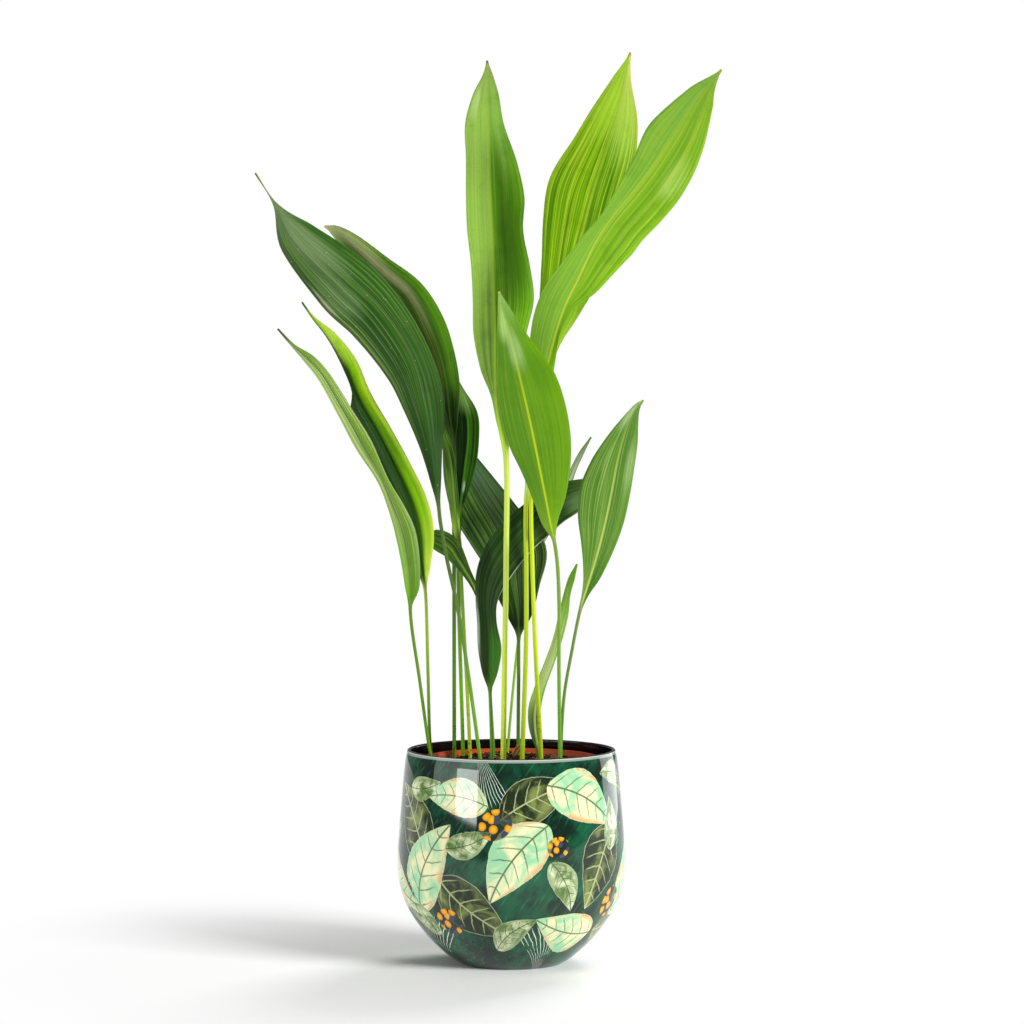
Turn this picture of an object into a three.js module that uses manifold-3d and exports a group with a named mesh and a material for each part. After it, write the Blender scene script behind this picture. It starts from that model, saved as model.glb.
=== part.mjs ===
// A potted cast iron plant: sixteen leaves on long stems, standing in the soil of a plastic nursery pot,
// which stands in a rounded glazed planter. Millimetres, +Z up, the front faces -Y.
// The origin is the middle of the planter's foot, on the surface that it stands on.
import * as THREE from "three";
import { mergeVertices } from "three/addons/utils/BufferGeometryUtils.js";
import Module from "manifold-3d";

const wasm = await Module();
wasm.setup();

// Driving dimensions
const planterHeight = 187;
const planterMouthRadius = 91.5;
const planterWall = 3.6;
const planterFloor = 7;
const footRadius = 46.5;
const nurseryRimRadius = 77;
const nurseryRimTop = 180;
const nurseryRimHeight = 9;
const nurseryRimStandsOut = 2;
const nurseryWall = 1.8;
const nurseryFloor = 2;
const nurseryFootRadius = 49;
const soilTop = 175;
const soilRoughness = 1.3;
const lumpLength = 31;
const seatGap = 0.3;
const bladeThickness = 0.9;
// How many radians the ripple of a margin runs through from the blade's foot to its tip, and how far
// the ripple of the right margin is ahead of the left one's.
const rippleLength = 14;
const rippleShift = 2.4;
const potSides = 40;
const soilRings = 6;
const ringsPerBladeStation = 2;
const ringsPerStemStation = 1;

// How far across a half blade each lengthwise line of points lies: 0 is the midrib, 1 the margin.
const acrossBlade = [-1, -0.66, -0.3, 0, 0.3, 0.66, 1];

// Each leaf is one piece, a stem that widens into a blade.
// stem: points on the stem's middle line, from its foot in the soil to just below the blade.
// blade: points on the midrib, from the blade's foot to its tip, each followed by how far the blade
// reaches to the left and to the right of it, as seen from the front.
// swing: how far each half leans to the front (above 0) or the back for each millimetre that it reaches
// sideways, at the blade's foot and at its tip, left and right.
// bow: how much each half is arched, and wave: how far the margins wave, in millimetres.
const leaves = [
  {
    name: "leaf_long_dark_left",
    colour: 0x24502b,
    stemRadius: 1.6,
    stem: [
      [-22.5, -42, 150],
      [-25.9, -42, 175],
      [-39, -42, 268],
      [-46.8, -43, 315],
      [-55.4, -44, 354.5],
      [-58, -45, 369],
      [-61.4, -45, 389],
    ],
    blade: [
      [-62.6, -45, 401, 1.8, 1.8],
      [-68.3, -47, 447, 8.5, 8.5],
      [-76, -50, 489, 17.5, 17],
      [-85.5, -54, 524, 25, 19],
      [-112.6, -62, 567.5, 30.5, 21],
      [-140.5, -70, 595, 31, 22.5],
      [-181.3, -84, 632, 18.5, 14.5],
      [-199.3, -91, 657, 2, 2],
      [-215.7, -97, 683, 0.8, 0.8],
    ],
    swing: { foot: [0.5, 0.4], tip: [0.1, 0.3] },
    bow: -0.2,
    wave: 1.5,
  },
  {
    name: "leaf_dark_behind_left",
    colour: 0x2d5f2a,
    stemRadius: 1.7,
    stem: [
      [-50.5, 22, 150],
      [-50.5, 22, 175],
      [-50.6, 24, 345],
      [-50.8, 25, 400],
    ],
    blade: [
      [-50.6, 26, 453, 1.8, 1.8],
      [-54.1, 27, 482, 3.5, 7.5],
      [-56.8, 28, 506, 10, 11.4],
      [-62.2, 31, 533, 12.5, 12.3],
      [-72.1, 36, 559.5, 14, 13.6],
      [-88.2, 42, 588.5, 13.5, 11.5],
      [-114.3, 50, 612, 14, 8.6],
      [-142.3, 58, 636, 11, 5.8],
      [-156.8, 62, 645, 6.5, 3.8],
      [-166.9, 66, 648.5, 0.8, 0.8],
    ],
    swing: { foot: [-0.3, 0.4], tip: [-0.4, 0.4] },
    bow: 0.1,
    wave: 1,
  },
  {
    name: "leaf_dark_crumpled",
    colour: 0x1c4a1c,
    stemRadius: 1.7,
    stem: [
      [-42.9, 38, 150],
      [-42.9, 38, 175],
      [-47.3, 42, 341],
      [-46.6, 44, 372],
    ],
    blade: [
      [-45.6, 46, 395, 1.7, 1.7],
      [-43.9, 46, 413, 4, 6],
      [-41.2, 46, 435, 9, 9.8],
      [-38.5, 46, 457.5, 12, 9.8],
      [-39.4, 46, 480, 12, 9.6],
      [-45.7, 46, 502, 8, 3.5],
      [-52.5, 46, 518, 4, 1.5],
      [-58, 46, 529, 0.8, 0.8],
    ],
    swing: { foot: [0.2, -0.3], tip: [0.2, -0.3] },
    bow: 0.2,
    wave: 1,
  },
  {
    name: "leaf_narrow_edge_on",
    colour: 0x4d8a35,
    stemRadius: 1.6,
    stem: [
      [-35.8, 10, 150],
      [-36.2, 10, 175],
      [-38.9, 10, 238],
      [-44.2, 10, 339],
    ],
    blade: [
      [-44.6, 10, 356, 1.6, 1.6],
      [-47.7, 10, 379, 3.4, 2.8],
      [-49.9, 10, 400.5, 4.6, 4],
      [-51.6, 10, 422.5, 5.2, 3.8],
      [-53.8, 10, 440, 5.2, 4.2],
      [-57.3, 10, 456, 4, 3.6],
      [-61.7, 10, 471, 2.8, 2.6],
      [-67.9, 10, 489, 0.8, 0.8],
    ],
    swing: { foot: [1.1, -0.9], tip: [0.8, -0.9] },
    bow: 0,
    wave: 0.4,
  },
  {
    name: "leaf_bright_left",
    colour: 0x7cb52a,
    stemRadius: 1.4,
    stem: [
      [-66.3, 7, 158],
      [-69.2, 7, 175],
      [-71.3, 6, 190],
      [-72.7, -12, 253],
    ],
    blade: [
      [-74.6, -30, 328, 1.5, 1.5],
      [-77.2, -31, 345.5, 4.4, 7],
      [-80.7, -32, 375.5, 8.7, 14],
      [-87.6, -31, 401.5, 10.5, 15.7],
      [-100.7, -29, 432, 12.2, 14.4],
      [-115.6, -26, 462, 10.5, 13],
      [-130.5, -22, 487, 9.5, 13],
      [-146, -16, 522.5, 1.4, 12.5],
      [-159.1, -12, 546.5, 1.2, 7.5],
      [-172.9, -8, 564, 0.9, 2],
      [-182.6, -5, 578, 0.8, 0.8],
    ],
    swing: { foot: [-0.8, -0.2], tip: [-0.6, -0.2] },
    bow: 0.1,
    wave: 1,
  },
  {
    name: "leaf_outermost_left",
    colour: 0x4f8f3c,
    stemRadius: 1.4,
    stem: [
      [-66.3, -7, 158],
      [-69.2, -7, 175],
      [-72, -8.5, 190],
      [-79.4, -28, 248],
    ],
    blade: [
      [-87, -50, 313.5, 1.5, 1.5],
      [-85, -52, 333, 6.4, 6.4],
      [-90.1, -54, 376, 8.8, 8.8],
      [-98.9, -58, 401, 6.9, 6.9],
      [-109.4, -63, 424.5, 5.4, 4],
      [-126.2, -70, 455, 7.5, 7.5],
      [-140, -76, 479.5, 6.6, 6.6],
      [-159.9, -84, 513.5, 5.4, 5.4],
      [-171.1, -88, 526.5, 4.6, 4.6],
      [-183.9, -92, 537.5, 1.7, 1.7],
      [-197.1, -96, 552, 0.8, 0.8],
    ],
    swing: { foot: [0.6, 0.9], tip: [0.5, 0.9] },
    bow: 0,
    wave: 1,
  },
  {
    name: "leaf_tall_middle",
    colour: 0x5da02c,
    stemRadius: 2.4,
    stem: [
      [-7.3, -30, 150],
      [-7.2, -30, 175],
      [-4.6, -30, 354],
    ],
    blade: [
      [-4.6, -29, 442, 2.4, 2.4],
      [-7.2, -28, 458, 2.2, 6],
      [-10.7, -28, 475, 2.6, 12],
      [-13.3, -28, 497, 4.6, 16.5],
      [-14.1, -28, 518.5, 12.5, 21],
      [-14.1, -28, 549, 18.6, 27],
      [-15, -27, 579, 18.4, 34.5],
      [-15.9, -25, 609.5, 19, 32],
      [-16.7, -22, 640.5, 21.6, 27],
      [-18.1, -18, 670.5, 21.2, 29.5],
      [-18.6, -13, 701.5, 20.8, 23.4],
      [-19.4, -7, 733, 20.8, 13],
      [-20.4, 0, 759.5, 13, 9.5],
      [-20.8, 5, 777, 4, 4.8],
      [-21.2, 9, 789.5, 0.8, 0.8],
    ],
    swing: { foot: [0.35, -0.15], tip: [0.3, -0.25] },
    bow: -0.15,
    wave: 2,
  },
  {
    name: "leaf_glowing_right",
    colour: 0x8cc327,
    stemRadius: 1.9,
    stem: [
      [26.5, -25, 150],
      [26.1, -25, 175],
      [20.5, -28, 284.5],
      [18, -26, 354],
    ],
    blade: [
      [17.1, -20, 405.5, 2, 2],
      [19.8, -16, 445, 4, 4],
      [24.1, -14, 479.5, 8, 8],
      [29.3, -11, 510, 12, 3.5],
      [35.5, -7, 540.5, 17, 6.5],
      [43.5, -2, 571.5, 20, 16.5],
      [51.4, 4, 607, 26, 28],
      [60.4, 12, 642, 34, 32],
      [69.4, 20, 676, 37.5, 32],
      [82, 30, 714, 28.5, 30],
      [92.8, 38, 745.5, 21.5, 20.5],
      [101.1, 45, 777, 11, 5.5],
      [105.6, 50, 801.5, 0.8, 0.8],
    ],
    swing: { foot: [0.2, -0.1], tip: [0.35, -0.2] },
    bow: -0.15,
    wave: 2,
  },
  {
    name: "leaf_long_right",
    colour: 0x6fb02e,
    stemRadius: 2,
    stem: [
      [8.8, -40, 150],
      [9.1, -40, 175],
      [12.7, -42, 285.5],
      [12.7, -44, 354.5],
    ],
    blade: [
      [12.6, -46, 402, 2, 2],
      [15.2, -48, 423.5, 3.4, 3.4],
      [19.5, -50, 458, 7, 7],
      [24.6, -52, 492.5, 12, 7.7],
      [31.5, -53, 524, 17, 6],
      [39.2, -55, 552.5, 22.3, 3.5],
      [46.9, -57, 574, 23.2, 8],
      [56.2, -60, 593, 20.6, 19],
      [73.2, -66, 628.5, 12, 31],
      [85.9, -71, 647.5, 9, 32.5],
      [102.7, -77, 668, 13.5, 34.5],
      [117.8, -83, 687.5, 17.5, 34.5],
      [136.1, -90, 714, 22, 29],
      [159.4, -98, 749.5, 10, 14],
      [170.9, -102, 761.5, 4.2, 3],
      [176.6, -105, 769, 0.8, 0.8],
    ],
    swing: { foot: [0.2, 0.3], tip: [0.4, 0.2] },
    bow: -0.15,
    wave: 2,
  },
  {
    name: "leaf_front_middle",
    colour: 0x5fa32b,
    stemRadius: 1.6,
    stem: [
      [42, -45, 150],
      [42, -45, 175],
      [41, -47, 262.5],
      [41, -50, 320.5],
      [39.2, -52, 355],
    ],
    blade: [
      [36.6, -54, 372, 1.6, 1.6],
      [33.2, -58, 388, 7.3, 6.9],
      [29.7, -62, 406.5, 10.5, 17],
      [24.5, -67, 432.5, 15.5, 26.5],
      [19.4, -71, 458, 21.8, 31.5],
      [13.4, -75, 485.5, 23, 32.4],
      [7.4, -79, 511, 20.5, 29],
      [2.3, -83, 532.5, 14.5, 19.6],
      [-2.8, -87, 553, 9.4, 11],
      [-7.8, -91, 572.5, 3.8, 4.6],
      [-10.4, -93, 583.5, 0.8, 0.8],
    ],
    swing: { foot: [0.4, 0.4], tip: [0.2, 0.2] },
    bow: -0.2,
    wave: 1,
  },
  {
    name: "leaf_small_right",
    colour: 0x559b35,
    stemRadius: 1.4,
    stem: [
      [42.7, -18, 150],
      [42.9, -18, 175],
      [45.8, -18, 233.5],
      [52.8, -19, 275],
    ],
    blade: [
      [59.7, -20, 309.5, 1.5, 1.5],
      [64, -21, 324, 2.8, 3.5],
      [69.2, -23, 340.5, 7, 8.5],
      [76.1, -27, 364, 16, 12.3],
      [82, -32, 389, 25, 15.3],
      [87.1, -38, 415, 27.6, 15.8],
      [91.2, -44, 438.5, 21.8, 15.2],
      [96.2, -50, 459.5, 13, 13],
      [102.9, -56, 478, 5.5, 7],
      [108.8, -60, 487.5, 3, 2.2],
      [113, -62, 492, 0.8, 0.8],
    ],
    swing: { foot: [0.3, 0.4], tip: [0.1, 0.3] },
    bow: -0.1,
    wave: 1,
  },
  {
    name: "leaf_dark_arching",
    colour: 0x1b3d1e,
    stemRadius: 1.5,
    stem: [
      [-16.6, -22, 150],
      [-16.7, -22, 175],
    ],
    blade: [
      [-18.5, -22, 238, 1.5, 1.5],
      [-19.4, -22, 256.5, 6, 8],
      [-19.4, -22, 277, 9.5, 11],
      [-20.2, -22, 300, 9.5, 7.5],
      [-21.1, -22, 319, 10, 9.5],
      [-17.6, -21, 339, 13.5, 15],
      [-8.1, -18, 357, 17, 17],
      [6.7, -14, 375, 17.4, 17.4],
      [21.5, -10, 388, 17.4, 17.4],
      [35.5, -6, 399, 16.5, 16.5],
      [50.5, -2, 407, 15, 15],
      [67.1, 0, 414, 10.5, 10.5],
      [81.2, 2, 418, 5.5, 5.5],
      [93.5, 3, 420, 0.8, 0.8],
    ],
    swing: { foot: [0.5, 0.4], tip: [-0.2, 0.1] },
    bow: -0.1,
    wave: 1,
  },
  {
    name: "leaf_dark_broad",
    colour: 0x234d22,
    stemRadius: 1.6,
    stem: [
      [5.9, 20, 150],
      [5.9, 20, 175],
    ],
    blade: [
      [6.4, 24, 281, 1.6, 1.6],
      [5.9, 26, 303, 10, 9.5],
      [2.4, 31, 326.5, 17.5, 19],
      [-2.9, 40, 351, 21.5, 28],
      [-14.5, 50, 377.5, 25.5, 28.5],
      [-29.9, 62, 404, 26, 24],
      [-42.6, 74, 429, 19.5, 18],
      [-51.7, 84, 451, 11, 11],
      [-57.3, 91, 471, 4, 4],
      [-61, 96, 486, 0.8, 0.8],
    ],
    swing: { foot: [0.3, 0.3], tip: [0, 0.2] },
    bow: -0.1,
    wave: 1,
  },
  {
    name: "leaf_small_dark_left",
    colour: 0x2a5a24,
    stemRadius: 1.2,
    stem: [
      [-15, 6, 150],
      [-15, 6, 175],
      [-18.5, 2, 236],
      [-20, -1, 262],
    ],
    blade: [
      [-25.6, -6, 307.5, 1.3, 1.3],
      [-31.7, -8, 328.5, 2.6, 2.6],
      [-39.5, -9, 342.5, 4, 4.4],
      [-46.5, -9, 353, 6, 7.5],
      [-53.5, -9, 363.5, 8.5, 9.5],
      [-61.3, -9, 369.5, 9.5, 9.5],
      [-69.2, -9, 372.5, 7, 7],
      [-77, -9, 373, 0.8, 0.8],
    ],
    swing: { foot: [0.2, -0.2], tip: [0.3, -0.4] },
    bow: 0,
    wave: 0.5,
  },
  {
    name: "leaf_slender_back",
    colour: 0x5d8a52,
    stemRadius: 1.2,
    stem: [
      [-4.5, 38, 150],
      [-3.7, 38, 175],
      [4.2, 44, 262],
      [7.7, 50, 288],
      [17.5, 56, 337],
    ],
    blade: [
      [27.5, 58, 364, 1.2, 1.2],
      [39.9, 61, 390.5, 4, 4],
      [48.9, 65, 411, 4.5, 3],
      [56.3, 70, 430.5, 3.6, 2],
      [63.6, 76, 446, 2.6, 1.8],
      [71.8, 82, 460, 0.8, 0.8],
    ],
    swing: { foot: [0.3, -0.3], tip: [0.3, -0.3] },
    bow: 0,
    wave: 0.4,
  },
  {
    name: "leaf_young_right",
    colour: 0x7aa84a,
    stemRadius: 1.2,
    stem: [
      [23.6, 6, 150],
      [23.5, 6, 175],
    ],
    blade: [
      [23.4, 6, 184, 1.3, 1.3],
      [20.8, 7, 203.5, 5, 4.5],
      [20.8, 8, 221, 6, 5.2],
      [25.2, 9, 238.5, 5.2, 4.4],
      [33.1, 11, 260.5, 4.4, 4.4],
      [40.1, 14, 282.5, 3.5, 4.8],
      [45.3, 17, 304.5, 3.5, 5.2],
      [49.7, 20, 322, 3.5, 2.6],
      [54.2, 23, 336.5, 3.4, 2.2],
      [58, 25, 348, 0.8, 0.8],
    ],
    swing: { foot: [0.6, -0.5], tip: [-0.4, 0.5] },
    bow: 0,
    wave: 0.5,
  },
  {
    name: "dry_sheath",
    colour: 0x8a5a34,
    stemRadius: 1.2,
    stem: [
      [2, 6, 168],
      [2, 6, 175],
    ],
    blade: [
      [2.2, 6, 179, 1.6, 1.6],
      [3.5, 5, 184, 2.6, 3],
      [6.5, 4, 188, 2.2, 2.6],
      [9, 3, 191, 0.8, 0.8],
    ],
    swing: { foot: [0.8, 0.8], tip: [0.5, 0.5] },
    bow: 0,
    wave: 0.4,
  },
];

function mix(a, b, share) {
  return a + (b - a) * share;
}

// A smooth value through a list of numbers, at a place counted in steps along the list.
function smoothValue(values, place) {
  const last = values.length - 1;
  const step = Math.min(Math.floor(place), last - 1);
  const share = place - step;
  const before = values[Math.max(step - 1, 0)];
  const here = values[step];
  const next = values[step + 1];
  const after = values[Math.min(step + 2, last)];
  const slopeHere = (next - before) / 2;
  const slopeNext = (after - here) / 2;
  const square = share * share;
  const cube = square * share;
  return (
    here * (2 * cube - 3 * square + 1) +
    slopeHere * (cube - 2 * square + share) +
    next * (3 * square - 2 * cube) +
    slopeNext * (cube - square)
  );
}

// The directions across the stem or blade at one point: to the right as seen from the front, and out to the front.
function sectionDirections(tangent) {
  const away = new THREE.Vector3(0, 1, 0);
  const right = new THREE.Vector3().crossVectors(away, tangent).normalize();
  const front = new THREE.Vector3().crossVectors(right, tangent).normalize();
  return { right, front };
}

// One closed ring of points round a stem, in as many points as a blade's ring.
function stemRing(middle, directions, radius) {
  const count = acrossBlade.length;
  const ring = [];
  for (let i = 0; i < 2 * count; i++) {
    const angle = Math.PI - ((i + 0.5) * Math.PI) / count;
    ring.push(
      middle
        .clone()
        .addScaledVector(directions.right, radius * Math.cos(angle))
        .addScaledVector(directions.front, radius * Math.sin(angle)),
    );
  }
  return ring;
}

// One closed ring round a blade: its front face from the left margin to the right one, then its back.
function bladeRing(leaf, middle, directions, left, right, along, ribRadius) {
  const faces = { front: [], back: [] };
  for (const across of acrossBlade) {
    const side = across < 0 ? 0 : 1;
    const width = side === 0 ? left : right;
    const reach = Math.abs(across);
    const lean = mix(leaf.swing.foot[side], leaf.swing.tip[side], along);
    const swell = reach ** 2 * Math.sin(Math.PI * along);
    const ripple = leaf.wave * swell * Math.sin(rippleLength * along + rippleShift * side);
    const depth = width * (lean * reach + leaf.bow * reach ** 2) + ripple;
    const turn = Math.atan(lean + 2 * leaf.bow * reach) * Math.sign(across);
    const normal = directions.front
      .clone()
      .multiplyScalar(Math.cos(turn))
      .addScaledVector(directions.right, -Math.sin(turn));
    const point = middle
      .clone()
      .addScaledVector(directions.right, width * across)
      .addScaledVector(directions.front, depth);
    const halfThickness = across === 0 ? Math.max(bladeThickness / 2, ribRadius) : bladeThickness / 2;
    faces.front.push(point.clone().addScaledVector(normal, halfThickness));
    faces.back.unshift(point.clone().addScaledVector(normal, -halfThickness));
  }
  return [...faces.front, ...faces.back];
}

// A closed body from rings of equal count, with its two ends closed by fans.
function loft(rings) {
  const count = rings[0].length;
  const positions = rings.flat().flatMap((p) => [p.x, p.y, p.z]);
  const triangles = [];
  const half = count / 2;
  for (let r = 0; r + 1 < rings.length; r++)
    for (let i = 0; i < count; i++) {
      const next = (i + 1) % count;
      const a = r * count + i;
      const b = r * count + next;
      const c = a + count;
      const d = b + count;
      // The back's squares are split the other way round, so that both faces fold along the same lines.
      if (i < half) triangles.push(a, b, c, b, d, c);
      else triangles.push(a, b, d, a, d, c);
    }
  for (const end of [0, rings.length - 1]) {
    const middle = rings[end].reduce((sum, p) => sum.add(p), new THREE.Vector3()).divideScalar(count);
    const centre = positions.length / 3;
    positions.push(middle.x, middle.y, middle.z);
    for (let i = 0; i < count; i++) {
      const a = end * count + i;
      const b = end * count + ((i + 1) % count);
      if (end === 0) triangles.push(centre, b, a);
      else triangles.push(centre, a, b);
    }
  }
  const geometry = new THREE.BufferGeometry();
  geometry.setAttribute("position", new THREE.Float32BufferAttribute(positions, 3));
  geometry.setIndex(triangles);
  return geometry;
}

// The whole leaf, as rings up its stem and blade.
function leafGeometry(leaf) {
  const stations = [...leaf.stem, ...leaf.blade];
  const curve = new THREE.CatmullRomCurve3(
    stations.map(([x, y, z]) => new THREE.Vector3(x, y, z)),
    false,
    "centripetal",
  );
  const last = stations.length - 1;
  const foot = leaf.stem.length;
  const lefts = stations.map((station) => station[3] ?? leaf.stemRadius);
  const rights = stations.map((station) => station[4] ?? leaf.stemRadius);
  const tipRibRadius = bladeThickness / 2;
  const rings = [];
  for (let station = 0; station < last; station++) {
    const steps = station < foot ? ringsPerStemStation : ringsPerBladeStation;
    for (let i = 0; i < steps; i++) rings.push(station + i / steps);
  }
  rings.push(last);
  return loft(
    rings.map((place) => {
      const middle = curve.getPoint(place / last);
      const directions = sectionDirections(curve.getTangent(place / last));
      if (place <= foot) return stemRing(middle, directions, leaf.stemRadius);
      const along = (place - foot) / (last - foot);
      const ribRadius = mix(leaf.stemRadius, tipRibRadius, Math.min(2 * along, 1));
      return bladeRing(
        leaf,
        middle,
        directions,
        Math.max(smoothValue(lefts, place), tipRibRadius),
        Math.max(smoothValue(rights, place), tipRibRadius),
        along,
        ribRadius,
      );
    }),
  );
}

// The plain hole in the soil that a stem stands in, a little wider and deeper than the stem.
function stemHoleGeometry(leaf) {
  const [low, high] = leaf.stem.map(([x, y, z]) => new THREE.Vector3(x, y, z));
  const direction = high.clone().sub(low).normalize();
  const above = 12;
  return loft(
    [
      low.clone().addScaledVector(direction, -seatGap),
      high.clone().addScaledVector(direction, above),
    ].map((middle) => stemRing(middle, sectionDirections(direction), leaf.stemRadius + seatGap)),
  );
}

function lathe(profile, sides) {
  return new THREE.LatheGeometry(
    profile.map(([r, z]) => new THREE.Vector2(r, z)),
    sides,
  ).rotateX(Math.PI / 2);
}

// The planter: a rounded bowl that narrows a little to its mouth, with a thin rounded lip and a small foot.
function planterGeometry() {
  const outside = [
    [footRadius, 0],
    [53.5, 5],
    [62, 12],
    [71.3, 21],
    [80.2, 32],
    [87.8, 43],
    [94, 55],
    [98, 68],
    [100, 86],
    [99.2, 107],
    [96.4, 143],
    [93.4, 175],
  ];
  const inside = [
    [89.8, 175],
    [92.8, 143],
    [95.6, 107],
    [96.4, 86],
    [94, 68],
    [89.5, 56],
    [82.5, 44],
    [73.5, 32],
    [63, 20],
    [56, 12],
    [51, planterFloor],
  ];
  const lip = [
    [planterMouthRadius, planterHeight - 1.4],
    [planterMouthRadius - 1, planterHeight],
    [planterMouthRadius - planterWall + 1, planterHeight],
    [planterMouthRadius - planterWall, planterHeight - 1.4],
  ];
  return lathe([[0, 0], ...outside, ...lip, ...inside, [0, planterFloor]], potSides);
}

const nurseryBottom = planterFloor + seatGap;
const nurseryWallTopRadius = nurseryRimRadius - nurseryRimStandsOut;
const nurseryRimBottom = nurseryRimTop - nurseryRimHeight;
// The sloped wall brings two walls a little nearer to each other than their radii say.
const wallSlopeAllowance = 0.05;

// The radius of the nursery pot's outer wall at a height, below its rim.
function nurseryRadius(z) {
  return mix(
    nurseryFootRadius,
    nurseryWallTopRadius,
    (z - nurseryBottom) / (nurseryRimTop - nurseryBottom),
  );
}

function nurseryPotGeometry() {
  const floorTop = nurseryBottom + nurseryFloor;
  return lathe(
    [
      [0, nurseryBottom],
      [nurseryRadius(nurseryBottom), nurseryBottom],
      [nurseryRadius(nurseryRimBottom), nurseryRimBottom],
      [nurseryRimRadius, nurseryRimBottom],
      [nurseryRimRadius, nurseryRimTop],
      [nurseryRadius(nurseryRimTop) - nurseryWall, nurseryRimTop],
      [nurseryRadius(floorTop) - nurseryWall, floorTop],
      [0, floorTop],
    ],
    potSides,
  );
}

// How high the rough surface of the soil lies at a place: small lumps over longer swells.
function soilHeight(x, y) {
  const perMillimetre = (2 * Math.PI) / lumpLength;
  const lumps = Math.sin(x * perMillimetre + 1) * Math.sin(y * perMillimetre);
  const swells = Math.sin(((x + y) * perMillimetre) / 2);
  return soilTop + soilRoughness * (lumps + 0.6 * swells);
}

function soilGeometry() {
  const bottom = nurseryBottom + nurseryFloor + seatGap;
  const insideRadius = (z) => nurseryRadius(z) - nurseryWall - seatGap - wallSlopeAllowance;
  const rings = [];
  const ringAt = (radius, height) => {
    const ring = [];
    for (let i = 0; i < potSides; i++) {
      const angle = (2 * Math.PI * i) / potSides;
      const x = radius * Math.cos(angle);
      const y = radius * Math.sin(angle);
      ring.push(new THREE.Vector3(x, y, height ?? soilHeight(x, y)));
    }
    return ring;
  };
  // The top ring is as narrow as the pot is at the lowest dip of the soil's edge.
  const topRadius = insideRadius(soilTop - 2 * soilRoughness);
  rings.push(ringAt(insideRadius(bottom), bottom));
  for (let i = soilRings; i > 0; i--) rings.push(ringAt((topRadius * i) / soilRings));
  return loft(rings);
}

function solidFrom(geometry) {
  const plain = geometry.index ? geometry.toNonIndexed() : geometry.clone();
  plain.deleteAttribute("normal");
  plain.deleteAttribute("uv");
  const merged = mergeVertices(plain, 1e-4);
  return new wasm.Manifold(
    new wasm.Mesh({
      numProp: 3,
      vertProperties: merged.attributes.position.array,
      triVerts: new Uint32Array(merged.index.array),
    }),
  );
}

function geometryFrom(solid) {
  const { vertProperties, triVerts } = solid.getMesh();
  const geometry = new THREE.BufferGeometry();
  geometry.setAttribute("position", new THREE.BufferAttribute(vertProperties, 3));
  geometry.setIndex(new THREE.BufferAttribute(triVerts, 1));
  return geometry;
}

function soilWithStemHoles() {
  const soil = leaves.reduce(
    (solid, leaf) => solid.subtract(solidFrom(stemHoleGeometry(leaf))),
    solidFrom(soilGeometry()),
  );
  return geometryFrom(soil);
}

const plant = new THREE.Group();

function addPiece(name, geometry, colour, roughness) {
  const material = new THREE.MeshStandardMaterial({ color: colour, roughness, metalness: 0 });
  const mesh = new THREE.Mesh(geometry, material);
  mesh.name = name;
  plant.add(mesh);
}

addPiece("planter", planterGeometry(), 0x14573a, 0.15);
addPiece("nursery_pot", nurseryPotGeometry(), 0xc8552e, 0.5);
addPiece("soil", soilWithStemHoles(), 0x3b2416, 1);
for (const leaf of leaves) addPiece(leaf.name, leafGeometry(leaf), leaf.colour, 0.4);

export default plant;
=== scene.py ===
# A potted cast iron plant in a glazed printed planter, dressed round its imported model.
# Blender 4.5, metres, +Z up, and the front faces -Y.
import bisect
import math
import random
from functools import partial
import bmesh
import bpy
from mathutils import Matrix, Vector, noise


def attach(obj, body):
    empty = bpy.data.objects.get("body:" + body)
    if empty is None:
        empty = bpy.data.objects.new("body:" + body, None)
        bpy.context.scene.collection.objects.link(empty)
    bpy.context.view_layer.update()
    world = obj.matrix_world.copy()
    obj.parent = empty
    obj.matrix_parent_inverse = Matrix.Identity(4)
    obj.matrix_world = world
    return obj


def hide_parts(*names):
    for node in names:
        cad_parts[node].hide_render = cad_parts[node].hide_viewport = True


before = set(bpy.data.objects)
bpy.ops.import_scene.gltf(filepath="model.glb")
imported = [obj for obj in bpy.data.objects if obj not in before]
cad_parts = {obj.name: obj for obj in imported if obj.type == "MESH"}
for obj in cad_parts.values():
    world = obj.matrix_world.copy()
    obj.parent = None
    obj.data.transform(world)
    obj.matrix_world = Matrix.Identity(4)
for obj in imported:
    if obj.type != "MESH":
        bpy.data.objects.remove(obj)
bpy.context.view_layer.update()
mm = 0.001
mergeWithin = 1e-6  # metres
print("frame loaded with", len(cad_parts), "nodes")


def linearColour(hexText):
    channels = [int(hexText[i:i + 2], 16) / 255 for i in (1, 3, 5)]
    return [c / 12.92 if c <= 0.04045 else ((c + 0.055) / 1.055) ** 2.4 for c in channels] + [1.0]


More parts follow.
